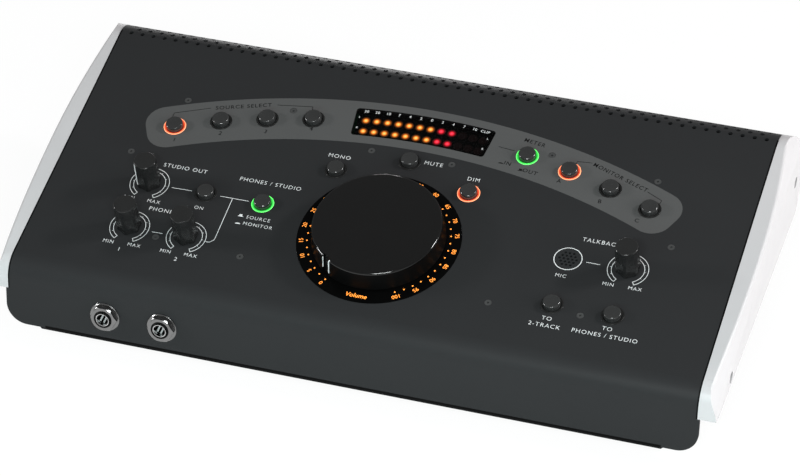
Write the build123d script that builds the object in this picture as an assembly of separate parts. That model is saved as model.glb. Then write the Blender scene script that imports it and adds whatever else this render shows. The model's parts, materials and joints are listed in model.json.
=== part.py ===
from build123d import *
import os
from math import asin, cos, degrees, radians, sin, sqrt, tan

# Studio monitor controller: a sloping steel console with a large volume knob.
#
# Working frame: the origin is on the volume knob's axis, at the panel's outer face. X runs to the right.
# Pieces on the panel are drawn flat, with Y up the slope and Z out of the panel, and then tilted by PANEL.
# Pieces on the floor side are drawn upright. At the end everything moves so that the origin is the centre
# of the bottom of the whole box.

# ---- Case ---------------------------------------------------------------------------------------------
PANEL_TILT = 17.0           # slope of the control panel
PANEL_HALF_WIDTH = 181.0
SHEET = 1.5                 # wall of the top cover
CASE_BELOW = 51.4           # lower edge of the flap, under the knob's centre
FRONT_BEND_REACH = -50.0    # up the slope: where the panel starts to turn down in front
FRONT_BEND = 12.5           # outer radius
FRONT_LEAN = 4.0            # the flap's foot stands forward by this angle
FLAP_CORNER = 11.0
FLAP_EXTRA = 1.2            # the flap is wider than the panel below the cheeks
FLAP_STEP_BELOW = 31.5      # height of that step, under the knob's centre
REAR_BEND_REACH = 107.0     # up the slope: where the panel starts to turn down behind
REAR_BEND = 14.7            # outer radius
REAR_LIP = 8.0
SEAM = 0.25                 # gap between nested sheets
TRAY_WALL = 1.2
TRAY_LIP = 6.0
TRAY_DROP = 1.0             # the tray's floor lies this far below the flap's foot
TRAY_BEVEL = 17.0           # the corners between its floor and side walls are bevelled by this
SIDE_WALL_GAP = 0.2         # between a cheek and the tray's side wall
SIDE_WALL_X = PANEL_HALF_WIDTH - SIDE_WALL_GAP
REAR_PLATE = 1.2
REAR_FOOT = 9.0
FOOT_RADIUS = 7.0
FOOT_HEIGHT = 3.0
FOOT_FROM_SIDE = 31.0
FOOT_X = PANEL_HALF_WIDTH - FOOT_FROM_SIDE
FOOT_FRONT_Y = -42.0
FOOT_REAR_Y = 100.0

# ---- Vents in the rear bend -----------------------------------------------------------------------------
VENT_RADIUS = 1.25
VENT_PITCH = 6.36
VENT_MARGIN = 6.0           # from the panel's side to the nearest vent's centre, at least
VENT_COLUMNS = int(2 * (PANEL_HALF_WIDTH - VENT_MARGIN) / VENT_PITCH) + 1
VENT_ROWS = 4
VENT_ROW_STEP = 4.0         # along the bend
VENT_FIRST = 1.7            # first row, past the start of the bend

# ---- Cheeks ---------------------------------------------------------------------------------------------
CHEEK_WIDTH = 9.7
CHEEK_REACH = PANEL_HALF_WIDTH + CHEEK_WIDTH
CHEEK_REAR_Y = 126.0
CHEEK_REAR_BEND = 20.0
CHEEK_REAR_BELOW = 20.0     # lower edge at the back, under the knob's centre
CHEEK_TOE = 8.0             # rounding of the lower rear corner
CHEEK_CREST_ROUND = 1.4
CHEEK_BELLY_BELOW = 11.0    # where the outer wall reaches furthest out, below the panel's face
CHEEK_BELLY_ROUND = 20.0
CHEEK_TUCK = 2.0
CHEEK_LAND = 1.0            # flat stretch beside each end of the raised crest
CHEEK_SCREW_HEAD = 3.0
CHEEK_SCREW_SHANK = 1.5
CHEEK_SCREW_SINK = 4.0
CHEEK_SCREW_GRIP = 5.2      # how far the screws reach in past the panel's side
CHEEK_SCREW_LENGTH = CHEEK_WIDTH - CHEEK_SCREW_SINK + CHEEK_SCREW_GRIP
CHEEK_SCREW_HEAD_HEIGHT = 2.0
CHEEK_SCREWS = [(-28.1, -24.3), (111.8, 3.8)]
# Stations along the slope: distance, the facet's share of the cheek's width, rise of its crest.
CHEEK_STATIONS = [(-84.0, 0.36, 0.0), (-50.0, 0.53, 0.0), (-37.0, 0.64, 0.9), (-15.0, 0.80, 1.0),
                  (15.0, 0.93, 0.7), (40.0, 0.96, 0.5), (65.0, 0.88, 0.2), (85.0, 0.72, 0.0),
                  (105.0, 0.48, 0.0), (140.0, 0.24, 0.0)]

# ---- Control layout on the panel ------------------------------------------------------------------------
DIAL_RADIUS = 42.2
ARC_ABOVE_DIAL = 33.3       # from the dial's edge to the middle of the controls' arc
ARC_RADIUS = 330.5
ARC_CENTRE = DIAL_RADIUS + ARC_ABOVE_DIAL - ARC_RADIUS
ARC_STEP = 4.24             # angle between neighbouring buttons
ARC_FIRST = 10.15           # angle of the button nearest the meter
OUTER_COLUMN = 127.8
INNER_COLUMN = 96.8
THIRD_COLUMN = 65.6
UPPER_ROW = 8.9
LOWER_ROW = -21.2
KNOB_BUTTON_OUT = 11.0      # mono, mute and dim stand this far outside the dial's edge
KNOB_BUTTON_RADIUS = DIAL_RADIUS + KNOB_BUTTON_OUT
KNOB_BUTTON_ANGLE = 42.3

# ---- Push buttons ---------------------------------------------------------------------------------------
BUTTON_RADIUS = 4.5
BUTTON_PROUD = 3.1
BUTTON_SKIRT = 1.2          # part of the cap below the panel's face
BUTTON_TRAVEL = 2.5
BUTTON_EDGE = 0.5
BUTTON_GAP = 0.3
STEM_SIDE = 3.2
STEM_LENGTH = 8.4
RING_OUTER = 5.9
RING_PROUD = 0.3
RING_FLANGE = 0.8
RING_FLANGE_HEIGHT = 1.2
RING_SEAT_GAP = 0.05
SWITCH_SIDE = 8.0
SWITCH_HEIGHT = 8.4
SWITCH_WELL_GAP = 0.3
STEM_END_GAP = 0.1          # under the stem when the button is pressed in
STEM_END = -BUTTON_SKIRT - STEM_LENGTH

# ---- Volume knob and dial -------------------------------------------------------------------------------
DIAL_PROUD = 0.3
DIAL_EYE = 6.4
DIAL_GAP = 0.12
GUIDE_MARGIN = 3.2
GUIDE_OUTER = DIAL_RADIUS + GUIDE_MARGIN
GUIDE_INNER = 20.0
GUIDE_HEIGHT = 3.0
VOLUME_RADIUS = 34.5
VOLUME_BASE = 1.3
VOLUME_TOP = 11.3
VOLUME_WALL = 3.0
VOLUME_ROOF = 2.5
VOLUME_CHAMFER = 0.9
VOLUME_HUB = 6.0
VOLUME_RIBS = 6
VOLUME_RIB = 1.5
VOLUME_REST_ANGLE = 236.0   # where the pointer stands at rest, from +X
GROOVE_WIDTH = 2.4
GROOVE_DEPTH = 2.2
GROOVE_FLOOR = 2.2          # height of the groove's lower end over the knob's base

# ---- Small knobs ----------------------------------------------------------------------------------------
KNOB_BASE_RADIUS = 6.4
KNOB_TOP_RADIUS = 5.9
KNOB_BASE = 0.6
KNOB_TOP = 18.2
KNOB_EDGE = 0.7
KNOB_SCALLOPS = 6
SCALLOP_RADIUS = 12.0
SCALLOP_DEPTH = 0.6
STUDIO_REST_ANGLE = 223.0
OTHER_REST_ANGLE = 90.0

# ---- Shafts and potentiometers --------------------------------------------------------------------------
SHAFT_RADIUS = 3.0
SHAFT_RUNNING_GAP = 0.08
SHAFT_SEAT_GAP = 0.05
SHAFT_FLAT = 0.5
KNOB_BORE_TOP = 14.0
VOLUME_SHAFT_TOP = 8.3
PANEL_SHAFT_HOLE = 3.7
POT_SIDE = 9.8
POT_HEIGHT = 6.8
POT_COLLAR = 3.4
POT_COLLAR_TOP = -2.0
POT_FLOOR = 1.2
VOLUME_POT_SIDE = 17.0
VOLUME_POT_HEIGHT = 7.5
VOLUME_COLLAR = 4.6
VOLUME_COLLAR_TOP = -0.8

# ---- Meter ----------------------------------------------------------------------------------------------
METER_INNER = ARC_RADIUS - 8.9
METER_OUTER = ARC_RADIUS + 9.6
METER_HALF_ANGLE = 6.4
METER_CORNER = 1.6
METER_GAP = 0.12
METER_PROUD = 0.1
METER_FLANGE = 1.7
METER_FLANGE_HEIGHT = 1.4
LED_RADIUS = 1.3
LED_COLUMNS = 12
LED_STEP = 1.0
LED_UPPER_RADIUS = ARC_RADIUS + 4.1
LED_LOWER_RADIUS = ARC_RADIUS - 3.3
LED_BEHIND = 0.4
LED_BORE_GAP = 0.1
LED_DOME = 0.8              # its dome's rounding, as a share of its radius
BLOCK_GAP = 0.3
BLOCK_INSET = 0.8

# ---- Boards ---------------------------------------------------------------------------------------------
BOARD_TOP = -15.0           # component side of the control board, below the panel's face
BOARD = 1.6
BOARD_SIDE_GAP = 6.0
BOARD_HALF_WIDTH = SIDE_WALL_X - TRAY_WALL - BOARD_SIDE_GAP
BOARD_FRONT = -37.0
BOARD_REAR = 92.0
SPACER_RADIUS = 2.75
SPACER_BORE = 1.5
CONNECTOR_DEPTH = 24.0      # from the rear panel's inner face to the connector board
CONNECTOR_BOARD_TOP = 4.0
BOARD_CLEAR = 4.0
RIBBON_WIDTH = 26.0
RIBBON = 0.9
RIBBON_X = -20.0
RIBBON_BEND = 5.0
RIBBON_REACH = 20.0

# ---- Panel screws ---------------------------------------------------------------------------------------
PANEL_SCREW_HEAD = 1.85
PANEL_SCREW_GAP = 0.1
PANEL_SCREW_SHANK = 1.35
PANEL_SCREW_LENGTH = 8.0
PANEL_SCREW_SINK = 0.1
HEX_KEY = 1.3
BACK_SCREW_STEPS = 2.69     # button steps from the first button on, along the controls' arc
BACK_SCREW_OUT = 17.4       # outside that arc
METER_SCREW_STEPS = 0.46
METER_SCREW_OUT = 5.7
DIAL_SCREW_OUT = 7.1        # outside mono, mute and dim
FRONT_SCREW_BELOW = 6.0     # under the lower row
KNOB_SCREW_BELOW = 3.5
SIDE_SCREW_OUT = 17.3       # outside the outer column
SIDE_SCREW_ABOVE = 19.0     # over the upper row

# ---- Microphone -----------------------------------------------------------------------------------------
MIC_HOLE = 0.68
MIC_PITCH = 2.2
MIC_RINGS = 2
MIC_CAPSULE = 4.85
MIC_CAPSULE_HEIGHT = 5.0
MIC_CAPSULE_TOP = -3.2
MIC_BOOT = 7.0
MIC_EDGE = 0.3

# ---- Headphone sockets ----------------------------------------------------------------------------------
JACK_BORE = 3.2
JACK_SLEEVE = 3.65
JACK_BUSHING = 4.75
JACK_BUSHING_GAP = 0.1
JACK_PROUD = 4.0
JACK_UP_FLAP = 13.6         # centre, up the flap from its lower edge
JACK_BODY_WIDTH = 14.0
JACK_BODY_HEIGHT = 12.6
JACK_BODY_DEPTH = 21.0
JACK_BACK_WALL = 1.5
SLEEVE_RECESS = 0.3
WASHER_RADIUS = 8.0
WASHER = 0.8
NUT_ACROSS_FLATS = 12.7
NUT_HEIGHT = 2.4
NUT_GAP = 0.05

# ---- Rear sockets ---------------------------------------------------------------------------------------
# Places across the back are shares of the panel's half width.
LINE_COLUMNS = 6
LINE_PITCH = 0.155 * PANEL_HALF_WIDTH
LINE_FIRST_X = -0.83 * PANEL_HALF_WIDTH
LINE_UPPER = -12.5
LINE_LOWER = -36.5
LINE_BODY = 15.0
LINE_PROUD = 5.5
LINE_NUT_HEIGHT = 2.4
PHONO_X = 0.177 * PANEL_HALF_WIDTH
PHONO_PITCH = 16.0
PHONO_BLOCK = 30.0
PHONO_SHELL = 4.15
PHONO_SHELL_BORE = 3.0
PHONO_PROUD = 9.0
PHONO_RADIUS = 5.2
DATA_X = 0.376 * PANEL_HALF_WIDTH
DATA_WIDTH = 12.0
DATA_HEIGHT = 11.0
DATA_MOUTH_WIDTH = 8.5
DATA_MOUTH_HEIGHT = 7.8
DATA_TONGUE_WIDTH = 5.6
DATA_TONGUE_HEIGHT = 3.2
DATA_MOUTH_DEPTH = 9.0
INLET_X = 0.575 * PANEL_HALF_WIDTH
INLET_SIDE = 12.0
INLET_BORE = 3.1
INLET_PIN = 1.05
INLET_WELL = 10.0
SOCKET_PROUD = 1.0
REAR_ROW = -24.5
SWITCH_X = 0.785 * PANEL_HALF_WIDTH
ROCKER_WIDTH = 10.0
ROCKER_HALF_HEIGHT = 8.4
ROCKER_TILT = 8.0
ROCKER_GAP = 0.7
ROCKER_DEPTH = 5.0
ROCKER_PROUD = 2.2
FRAME_WALL = 1.6
FRAME_FLANGE = 1.9
FRAME_FLANGE_HEIGHT = 1.8
FRAME_DEPTH = 15.0

# ---- Fasteners of the case ------------------------------------------------------------------------------
CASE_SCREW_HEAD = 2.7
CASE_SCREW_HEAD_HEIGHT = 1.6
CASE_SCREW_SHANK = 1.45
CASE_SCREW_GAP = 0.15
CASE_SCREW_LENGTH = 4.5
REAR_SCREW_X = [share * PANEL_HALF_WIDTH for share in (-0.66, 0, 0.66)]
FLOOR_SCREW_X = [share * PANEL_HALF_WIDTH for share in (-0.72, -0.25, 0.25, 0.72)]

PANEL = Location((0, 0, 0), (PANEL_TILT, 0, 0))


# ---- The case's side view -------------------------------------------------------------------------------
def crossing(normal_a, reach_a, normal_b, reach_b):
    """The point (y, z) where two lines meet, each given by its unit normal and distance."""
    det = normal_a[0] * normal_b[1] - normal_a[1] * normal_b[0]
    y = (reach_a * normal_b[1] - reach_b * normal_a[1]) / det
    z = (normal_a[0] * reach_b - normal_b[0] * reach_a) / det
    return y, z


FRONT_TURN = 90 - PANEL_TILT - FRONT_LEAN
REAR_TURN = 90 + PANEL_TILT
FRONT_CORNER = FRONT_BEND_REACH - FRONT_BEND * tan(radians(FRONT_TURN / 2))
REAR_CORNER = REAR_BEND_REACH + REAR_BEND * tan(radians(REAR_TURN / 2))
PANEL_NORMAL = (-sin(radians(PANEL_TILT)), cos(radians(PANEL_TILT)))
PANEL_ALONG = (cos(radians(PANEL_TILT)), sin(radians(PANEL_TILT)))
FLAP_NORMAL = (-cos(radians(FRONT_LEAN)), sin(radians(FRONT_LEAN)))
FLAP_UP = (sin(radians(FRONT_LEAN)), cos(radians(FRONT_LEAN)))
FLAP_REACH = FRONT_CORNER * (FLAP_NORMAL[0] * PANEL_ALONG[0] + FLAP_NORMAL[1] * PANEL_ALONG[1])
REAR_FACE = REAR_CORNER * PANEL_ALONG[0]
LIP_END = REAR_CORNER * PANEL_ALONG[1] - REAR_BEND * tan(radians(REAR_TURN / 2)) - REAR_LIP
TRAY_FLOOR = -CASE_BELOW - TRAY_DROP
TRAY_BOTTOM = TRAY_FLOOR - TRAY_WALL
FLOOR = TRAY_BOTTOM - FOOT_HEIGHT
PLATE_FACE = REAR_FACE - SHEET
PLATE_BACK = PLATE_FACE - REAR_PLATE
BOARD_FACE = PLATE_BACK - CONNECTOR_DEPTH
BOARD_UNDER = BOARD_TOP - BOARD


def flap_point(height, inset=0.0):
    """The point of the flap's face, moved inwards by inset, at a height."""
    return crossing(FLAP_NORMAL, FLAP_REACH - inset, (0, 1), height)


def cover_line(inset):
    """The side view's line from the flap's foot over the panel to the rear lip, moved inwards by inset."""
    points = [
        flap_point(-CASE_BELOW, inset),
        crossing(FLAP_NORMAL, FLAP_REACH - inset, PANEL_NORMAL, -inset),
        crossing(PANEL_NORMAL, -inset, (1, 0), REAR_FACE - inset),
        (REAR_FACE - inset, LIP_END),
    ]
    return FilletPolyline(*[(0, y, z) for y, z in points], radius=[FRONT_BEND - inset, REAR_BEND - inset])


def floor_half_width(inset, height):
    """Half the width between the tray's bevels at a height, moved inwards by inset."""
    return SIDE_WALL_X - TRAY_BEVEL + height - TRAY_BOTTOM - inset * sqrt(2)


def case_section(inset, low, top):
    """The lower case seen from the front, between two heights and moved inwards by inset."""
    wall_x = SIDE_WALL_X - inset
    floor_x = floor_half_width(inset, low)
    right = [(floor_x, low), (wall_x, low + wall_x - floor_x), (wall_x, top)]
    left = [(-x, z) for x, z in reversed(right)]
    return make_face(Polyline(*[(x, 0, z) for x, z in left + right], close=True))


def on_flap(x, up, out=0.0):
    """A plane on the flap's face, with its normal out of the face."""
    foot_y, foot_z = flap_point(-CASE_BELOW)
    y = foot_y + FLAP_UP[0] * up + FLAP_NORMAL[0] * out
    z = foot_z + FLAP_UP[1] * up + FLAP_NORMAL[1] * out
    return Plane(origin=(x, y, z), x_dir=(1, 0, 0), z_dir=(0, FLAP_NORMAL[0], FLAP_NORMAL[1]))


def on_rear(x, z, out=0.0):
    """A plane on the rear panel's outer face, with its normal out of the back."""
    return Plane(origin=(x, PLATE_FACE + out, z), x_dir=(-1, 0, 0), z_dir=(0, 1, 0))


def disc(radius, bottom, top):
    """An upright cylinder between two heights."""
    return Pos(0, 0, (bottom + top) / 2) * Cylinder(radius, top - bottom)


def block(width, depth, bottom, top):
    """An upright box between two heights, centred on the axis."""
    return Pos(0, 0, (bottom + top) / 2) * Box(width, depth, top - bottom)


def span_box(low, high):
    """A box between two opposite corners."""
    size = [b - a for a, b in zip(low, high)]
    middle = [(a + b) / 2 for a, b in zip(low, high)]
    return Pos(*middle) * Box(*size)


# ---- Places of the controls -----------------------------------------------------------------------------
def arc_place(angle, radius=ARC_RADIUS):
    """A place on the controls' arc, by its angle from straight up the slope, right-hand side positive."""
    return radius * sin(radians(angle)), ARC_CENTRE + radius * cos(radians(angle))


def arc_button(step):
    """A button's place on the arc: steps 1 to 4 run right from the meter, -1 to -4 run left."""
    angle = ARC_FIRST + (abs(step) - 1) * ARC_STEP
    return arc_place(angle if step > 0 else -angle)


def knob_button(angle):
    """A button's place around the volume dial."""
    return KNOB_BUTTON_RADIUS * sin(radians(angle)), KNOB_BUTTON_RADIUS * cos(radians(angle))


def panel_screw_pairs():
    """The right-hand one of each mirrored pair of panel screws, placed from the controls near it."""
    turn = radians(KNOB_BUTTON_ANGLE / 2)
    ring = KNOB_BUTTON_RADIUS + DIAL_SCREW_OUT
    return [
        arc_place(ARC_FIRST + BACK_SCREW_STEPS * ARC_STEP, ARC_RADIUS + BACK_SCREW_OUT),
        arc_place(ARC_FIRST + METER_SCREW_STEPS * ARC_STEP, ARC_RADIUS + METER_SCREW_OUT),
        (ring * sin(turn), ring * cos(turn)),
        (THIRD_COLUMN, LOWER_ROW - FRONT_SCREW_BELOW),
        ((INNER_COLUMN + OUTER_COLUMN) / 2, LOWER_ROW - KNOB_SCREW_BELOW),
        (OUTER_COLUMN + SIDE_SCREW_OUT, UPPER_ROW + SIDE_SCREW_ABOVE),
    ]


BUTTONS = {
    "source_1_button": arc_button(-4),
    "source_2_button": arc_button(-3),
    "source_3_button": arc_button(-2),
    "source_4_button": arc_button(-1),
    "meter_button": arc_button(1),
    "monitor_a_button": arc_button(2),
    "monitor_b_button": arc_button(3),
    "monitor_c_button": arc_button(4),
    "mono_button": knob_button(-KNOB_BUTTON_ANGLE),
    "mute_button": knob_button(0),
    "dim_button": knob_button(KNOB_BUTTON_ANGLE),
    "studio_on_button": (-INNER_COLUMN, UPPER_ROW),
    "phones_source_button": (-THIRD_COLUMN, UPPER_ROW),
    "talk_to_track_button": (INNER_COLUMN, LOWER_ROW),
    "talk_to_phones_button": (OUTER_COLUMN, LOWER_ROW),
}
KNOBS = {
    "studio": (-OUTER_COLUMN, UPPER_ROW, STUDIO_REST_ANGLE),
    "phones_1": (-OUTER_COLUMN, LOWER_ROW, OTHER_REST_ANGLE),
    "phones_2": (-INNER_COLUMN, LOWER_ROW, OTHER_REST_ANGLE),
    "talkback": (OUTER_COLUMN, UPPER_ROW, OTHER_REST_ANGLE),
}
MICROPHONE = (INNER_COLUMN, UPPER_ROW)
PHONES_JACKS = [on_flap(-OUTER_COLUMN, JACK_UP_FLAP), on_flap(-INNER_COLUMN, JACK_UP_FLAP)]
SCREW_PLACES = [(side * x, y) for x, y in panel_screw_pairs() for side in (-1, 1)]
LINE_JACKS = [
    on_rear(LINE_FIRST_X + column * LINE_PITCH, height)
    for column in range(LINE_COLUMNS)
    for height in (LINE_UPPER, LINE_LOWER)
]
PHONO_PLACES = [
    (PHONO_X + side * PHONO_PITCH / 2, REAR_ROW + level * PHONO_PITCH / 2)
    for side in (-1, 1)
    for level in (-1, 1)
]
FEET = [(side * FOOT_X, y) for side in (-1, 1) for y in (FOOT_FRONT_Y, FOOT_REAR_Y)]


def mic_holes():
    """The places of the microphone's holes, a hexagon of rows."""
    row_step = MIC_PITCH * sin(radians(60))
    places = []
    for row in range(-MIC_RINGS, MIC_RINGS + 1):
        count = 2 * MIC_RINGS + 1 - abs(row)
        for column in range(count):
            places.append(((column - (count - 1) / 2) * MIC_PITCH, row * row_step))
    return places


def arc_sector(inner, outer, half_angle, corner):
    """A face bounded by two arcs about the controls' arc centre and two radial edges."""
    corners = [arc_place(side * half_angle, radius) for radius in (outer, inner) for side in (-1, 1)]
    outer_left, outer_right, inner_left, inner_right = corners
    outline = [
        ThreePointArc(outer_left, arc_place(0, outer), outer_right),
        Line(outer_right, inner_right),
        ThreePointArc(inner_right, arc_place(0, inner), inner_left),
        Line(inner_left, outer_left),
    ]
    face = make_face(Curve() + outline)
    return fillet(face.vertices(), corner)


def meter_sector(grow):
    """The meter window's outline, grown on all sides."""
    half_angle = METER_HALF_ANGLE + degrees(asin(grow / ARC_RADIUS))
    return arc_sector(METER_INNER - grow, METER_OUTER + grow, half_angle, METER_CORNER + grow)


def slab(face, bottom, top):
    """A flat face on the panel's plane made solid between two heights."""
    return extrude(Pos(0, 0, bottom) * face, top - bottom, dir=(0, 0, 1))


# ---- Case pieces ----------------------------------------------------------------------------------------
def top_cover():
    outer = cover_line(0)
    inner = cover_line(SHEET)
    outline = Curve() + [outer, Line(outer @ 1, inner @ 1), inner, Line(inner @ 0, outer @ 0)]
    half_width = PANEL_HALF_WIDTH + FLAP_EXTRA
    cover = extrude(make_face(outline), half_width, both=True)
    foot_edges = cover.edges().filter_by_position(Axis.X, half_width, half_width, inclusive=(True, True))
    foot_edges += cover.edges().filter_by_position(Axis.X, -half_width, -half_width, inclusive=(True, True))
    front_foot = [
        edge for edge in foot_edges
        if edge.center().Z < -CASE_BELOW + SHEET and edge.center().Y < 0 and edge.length < 2 * SHEET
    ]
    cover = fillet(front_foot, FLAP_CORNER)
    beside = span_box((PANEL_HALF_WIDTH, -half_width, -FLAP_STEP_BELOW),
                      (half_width + FLAP_EXTRA, half_width, half_width))
    cuts = [beside, mirror(beside, Plane.YZ)]
    cuts += vent_cutters()
    through = disc(RING_OUTER + RING_SEAT_GAP, -2 * SHEET, SHEET)
    cuts += [PANEL * Pos(x, y, 0) * through for x, y in BUTTONS.values()]
    shaft_hole = disc(PANEL_SHAFT_HOLE, -2 * SHEET, SHEET)
    cuts += [PANEL * Pos(x, y, 0) * shaft_hole for x, y, _ in KNOBS.values()]
    screw_hole = disc(PANEL_SCREW_HEAD + PANEL_SCREW_GAP, -2 * SHEET, SHEET)
    cuts += [PANEL * Pos(x, y, 0) * screw_hole for x, y in SCREW_PLACES]
    mic_hole = disc(MIC_HOLE, -2 * SHEET, SHEET)
    cuts += [PANEL * Pos(MICROPHONE[0] + x, MICROPHONE[1] + y, 0) * mic_hole for x, y in mic_holes()]
    cuts.append(PANEL * disc(DIAL_RADIUS + DIAL_GAP, -2 * SHEET, SHEET))
    cuts.append(PANEL * slab(meter_sector(METER_GAP), -2 * SHEET, SHEET))
    jack_hole = disc(JACK_BUSHING + JACK_BUSHING_GAP, -2 * SHEET, SHEET)
    cuts += [place * jack_hole for place in PHONES_JACKS]
    screw_clear = disc(CASE_SCREW_SHANK + CASE_SCREW_GAP, -REAR_PLATE, 2 * SHEET)
    cuts += [on_rear(x, LIP_END + REAR_LIP / 2) * screw_clear for x in REAR_SCREW_X]
    return cover - cuts


def vent_cutters():
    """Cylinders for the vent rows, each row turned with the bend and shifted half a pitch."""
    cutter = disc(VENT_RADIUS, REAR_BEND - 2 * SHEET, REAR_BEND + SHEET)
    cutters = []
    for row in range(VENT_ROWS):
        angle = degrees((VENT_FIRST + row * VENT_ROW_STEP) / REAR_BEND)
        row_place = PANEL * Pos(0, REAR_BEND_REACH, -REAR_BEND) * Rot(-angle, 0, 0)
        count = VENT_COLUMNS - row % 2
        for column in range(count):
            x = (column - (count - 1) / 2) * VENT_PITCH
            cutters.append(row_place * Pos(x, 0, 0) * cutter)
    return cutters


def base_tray():
    """Floor, bevels and side walls that reach up under the cover, with a turned-up lip behind the flap."""
    inset = SHEET + SEAM
    roof = cover_line(inset)
    front_foot = crossing(FLAP_NORMAL, FLAP_REACH - inset, (0, 1), TRAY_BOTTOM)
    low_points = [
        (REAR_FACE - inset, LIP_END - SEAM), (PLATE_BACK, LIP_END - SEAM), (PLATE_BACK, TRAY_FLOOR),
        (REAR_FACE, TRAY_FLOOR), (REAR_FACE, TRAY_BOTTOM), front_foot,
    ]
    side_view = Curve() + [roof, Polyline(roof @ 1, *[(0, y, z) for y, z in low_points], roof @ 0)]
    trough = case_section(0, TRAY_BOTTOM, REAR_FACE) - case_section(TRAY_WALL, TRAY_FLOOR, REAR_FACE)
    tray = extrude(trough, 2 * REAR_FACE, both=True) & extrude(make_face(side_view), SIDE_WALL_X, both=True)
    front_top = flap_point(-CASE_BELOW + TRAY_LIP, inset)
    inner_foot = crossing(FLAP_NORMAL, FLAP_REACH - inset - TRAY_WALL, (0, 1), TRAY_FLOOR)
    inner_top = flap_point(-CASE_BELOW + TRAY_LIP, inset + TRAY_WALL)
    behind_foot = (inner_foot[0], TRAY_BOTTOM)
    lip_points = [front_top, front_foot, behind_foot, inner_foot, inner_top]
    lip = make_face(Polyline(*[(0, y, z) for y, z in lip_points], close=True))
    tray += extrude(lip, floor_half_width(0, TRAY_BOTTOM), both=True)
    hole = Rot(0, 90, 0) * Cylinder(CHEEK_SCREW_SHANK + CASE_SCREW_GAP, 4 * TRAY_WALL)
    cuts = [Pos(side * SIDE_WALL_X, y, z) * hole for side in (-1, 1) for y, z in CHEEK_SCREWS]
    floor_hole = Cylinder(CASE_SCREW_SHANK + CASE_SCREW_GAP, 4 * TRAY_WALL)
    cuts += [Pos(x, PLATE_BACK - REAR_FOOT / 2, TRAY_FLOOR) * floor_hole for x in FLOOR_SCREW_X]
    return tray - cuts


def rear_panel():
    """An upright plate behind the cover's lip, with a foot that lies on the tray's floor."""
    outline = case_section(TRAY_WALL + SEAM, TRAY_FLOOR, LIP_END + REAR_LIP)
    plate = extrude(Pos(0, PLATE_BACK, 0) * outline, REAR_PLATE, dir=(0, 1, 0))
    foot_x = floor_half_width(TRAY_WALL + SEAM, TRAY_FLOOR)
    plate += span_box((-foot_x, PLATE_BACK - REAR_FOOT, TRAY_FLOOR),
                      (foot_x, PLATE_BACK, TRAY_FLOOR + REAR_PLATE))
    bushing = disc(JACK_BUSHING + JACK_BUSHING_GAP, -2 * REAR_PLATE, REAR_PLATE)
    phono = disc(PHONO_RADIUS + JACK_BUSHING_GAP, -2 * REAR_PLATE, REAR_PLATE)
    data = block(DATA_WIDTH + 2 * SEAM, DATA_HEIGHT + 2 * SEAM, -2 * REAR_PLATE, REAR_PLATE)
    inlet = block(INLET_SIDE + 2 * SEAM, INLET_SIDE + 2 * SEAM, -2 * REAR_PLATE, REAR_PLATE)
    frame = block(frame_width() + 2 * SEAM, frame_height() + 2 * SEAM, -2 * REAR_PLATE, REAR_PLATE)
    screw = disc(CASE_SCREW_SHANK + CASE_SCREW_GAP, -2 * REAR_PLATE, REAR_PLATE)
    floor_screw = Cylinder(CASE_SCREW_SHANK + CASE_SCREW_GAP, 4 * REAR_PLATE)
    cuts = [place * bushing for place in LINE_JACKS]
    cuts += [on_rear(x, z) * phono for x, z in PHONO_PLACES]
    cuts += [on_rear(DATA_X, REAR_ROW) * data, on_rear(INLET_X, REAR_ROW) * inlet]
    cuts += [on_rear(SWITCH_X, REAR_ROW) * frame]
    cuts += [on_rear(x, LIP_END + REAR_LIP / 2) * screw for x in REAR_SCREW_X]
    cuts += [Pos(x, PLATE_BACK - REAR_FOOT / 2, TRAY_FLOOR) * floor_screw for x in FLOOR_SCREW_X]
    return plate - cuts


def cheek_section(along, share, rise):
    """One station of the right cheek's skin, across the slope: facet, rounded crest, outer wall."""
    facet = share * CHEEK_WIDTH
    deep = -2 * CASE_BELOW
    outline = FilletPolyline(
        (PANEL_HALF_WIDTH, 0),
        (PANEL_HALF_WIDTH + facet, rise),
        (CHEEK_REACH, -CHEEK_BELLY_BELOW),
        (CHEEK_REACH - CHEEK_TUCK, deep),
        radius=[CHEEK_CREST_ROUND, CHEEK_BELLY_ROUND],
    )
    bottom = Polyline(outline @ 1, (PANEL_HALF_WIDTH, deep), outline @ 0)
    station = Plane(origin=(0, along, 0), x_dir=(1, 0, 0), z_dir=(0, -1, 0))
    return station * make_face(Curve() + [outline, bottom])


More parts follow.
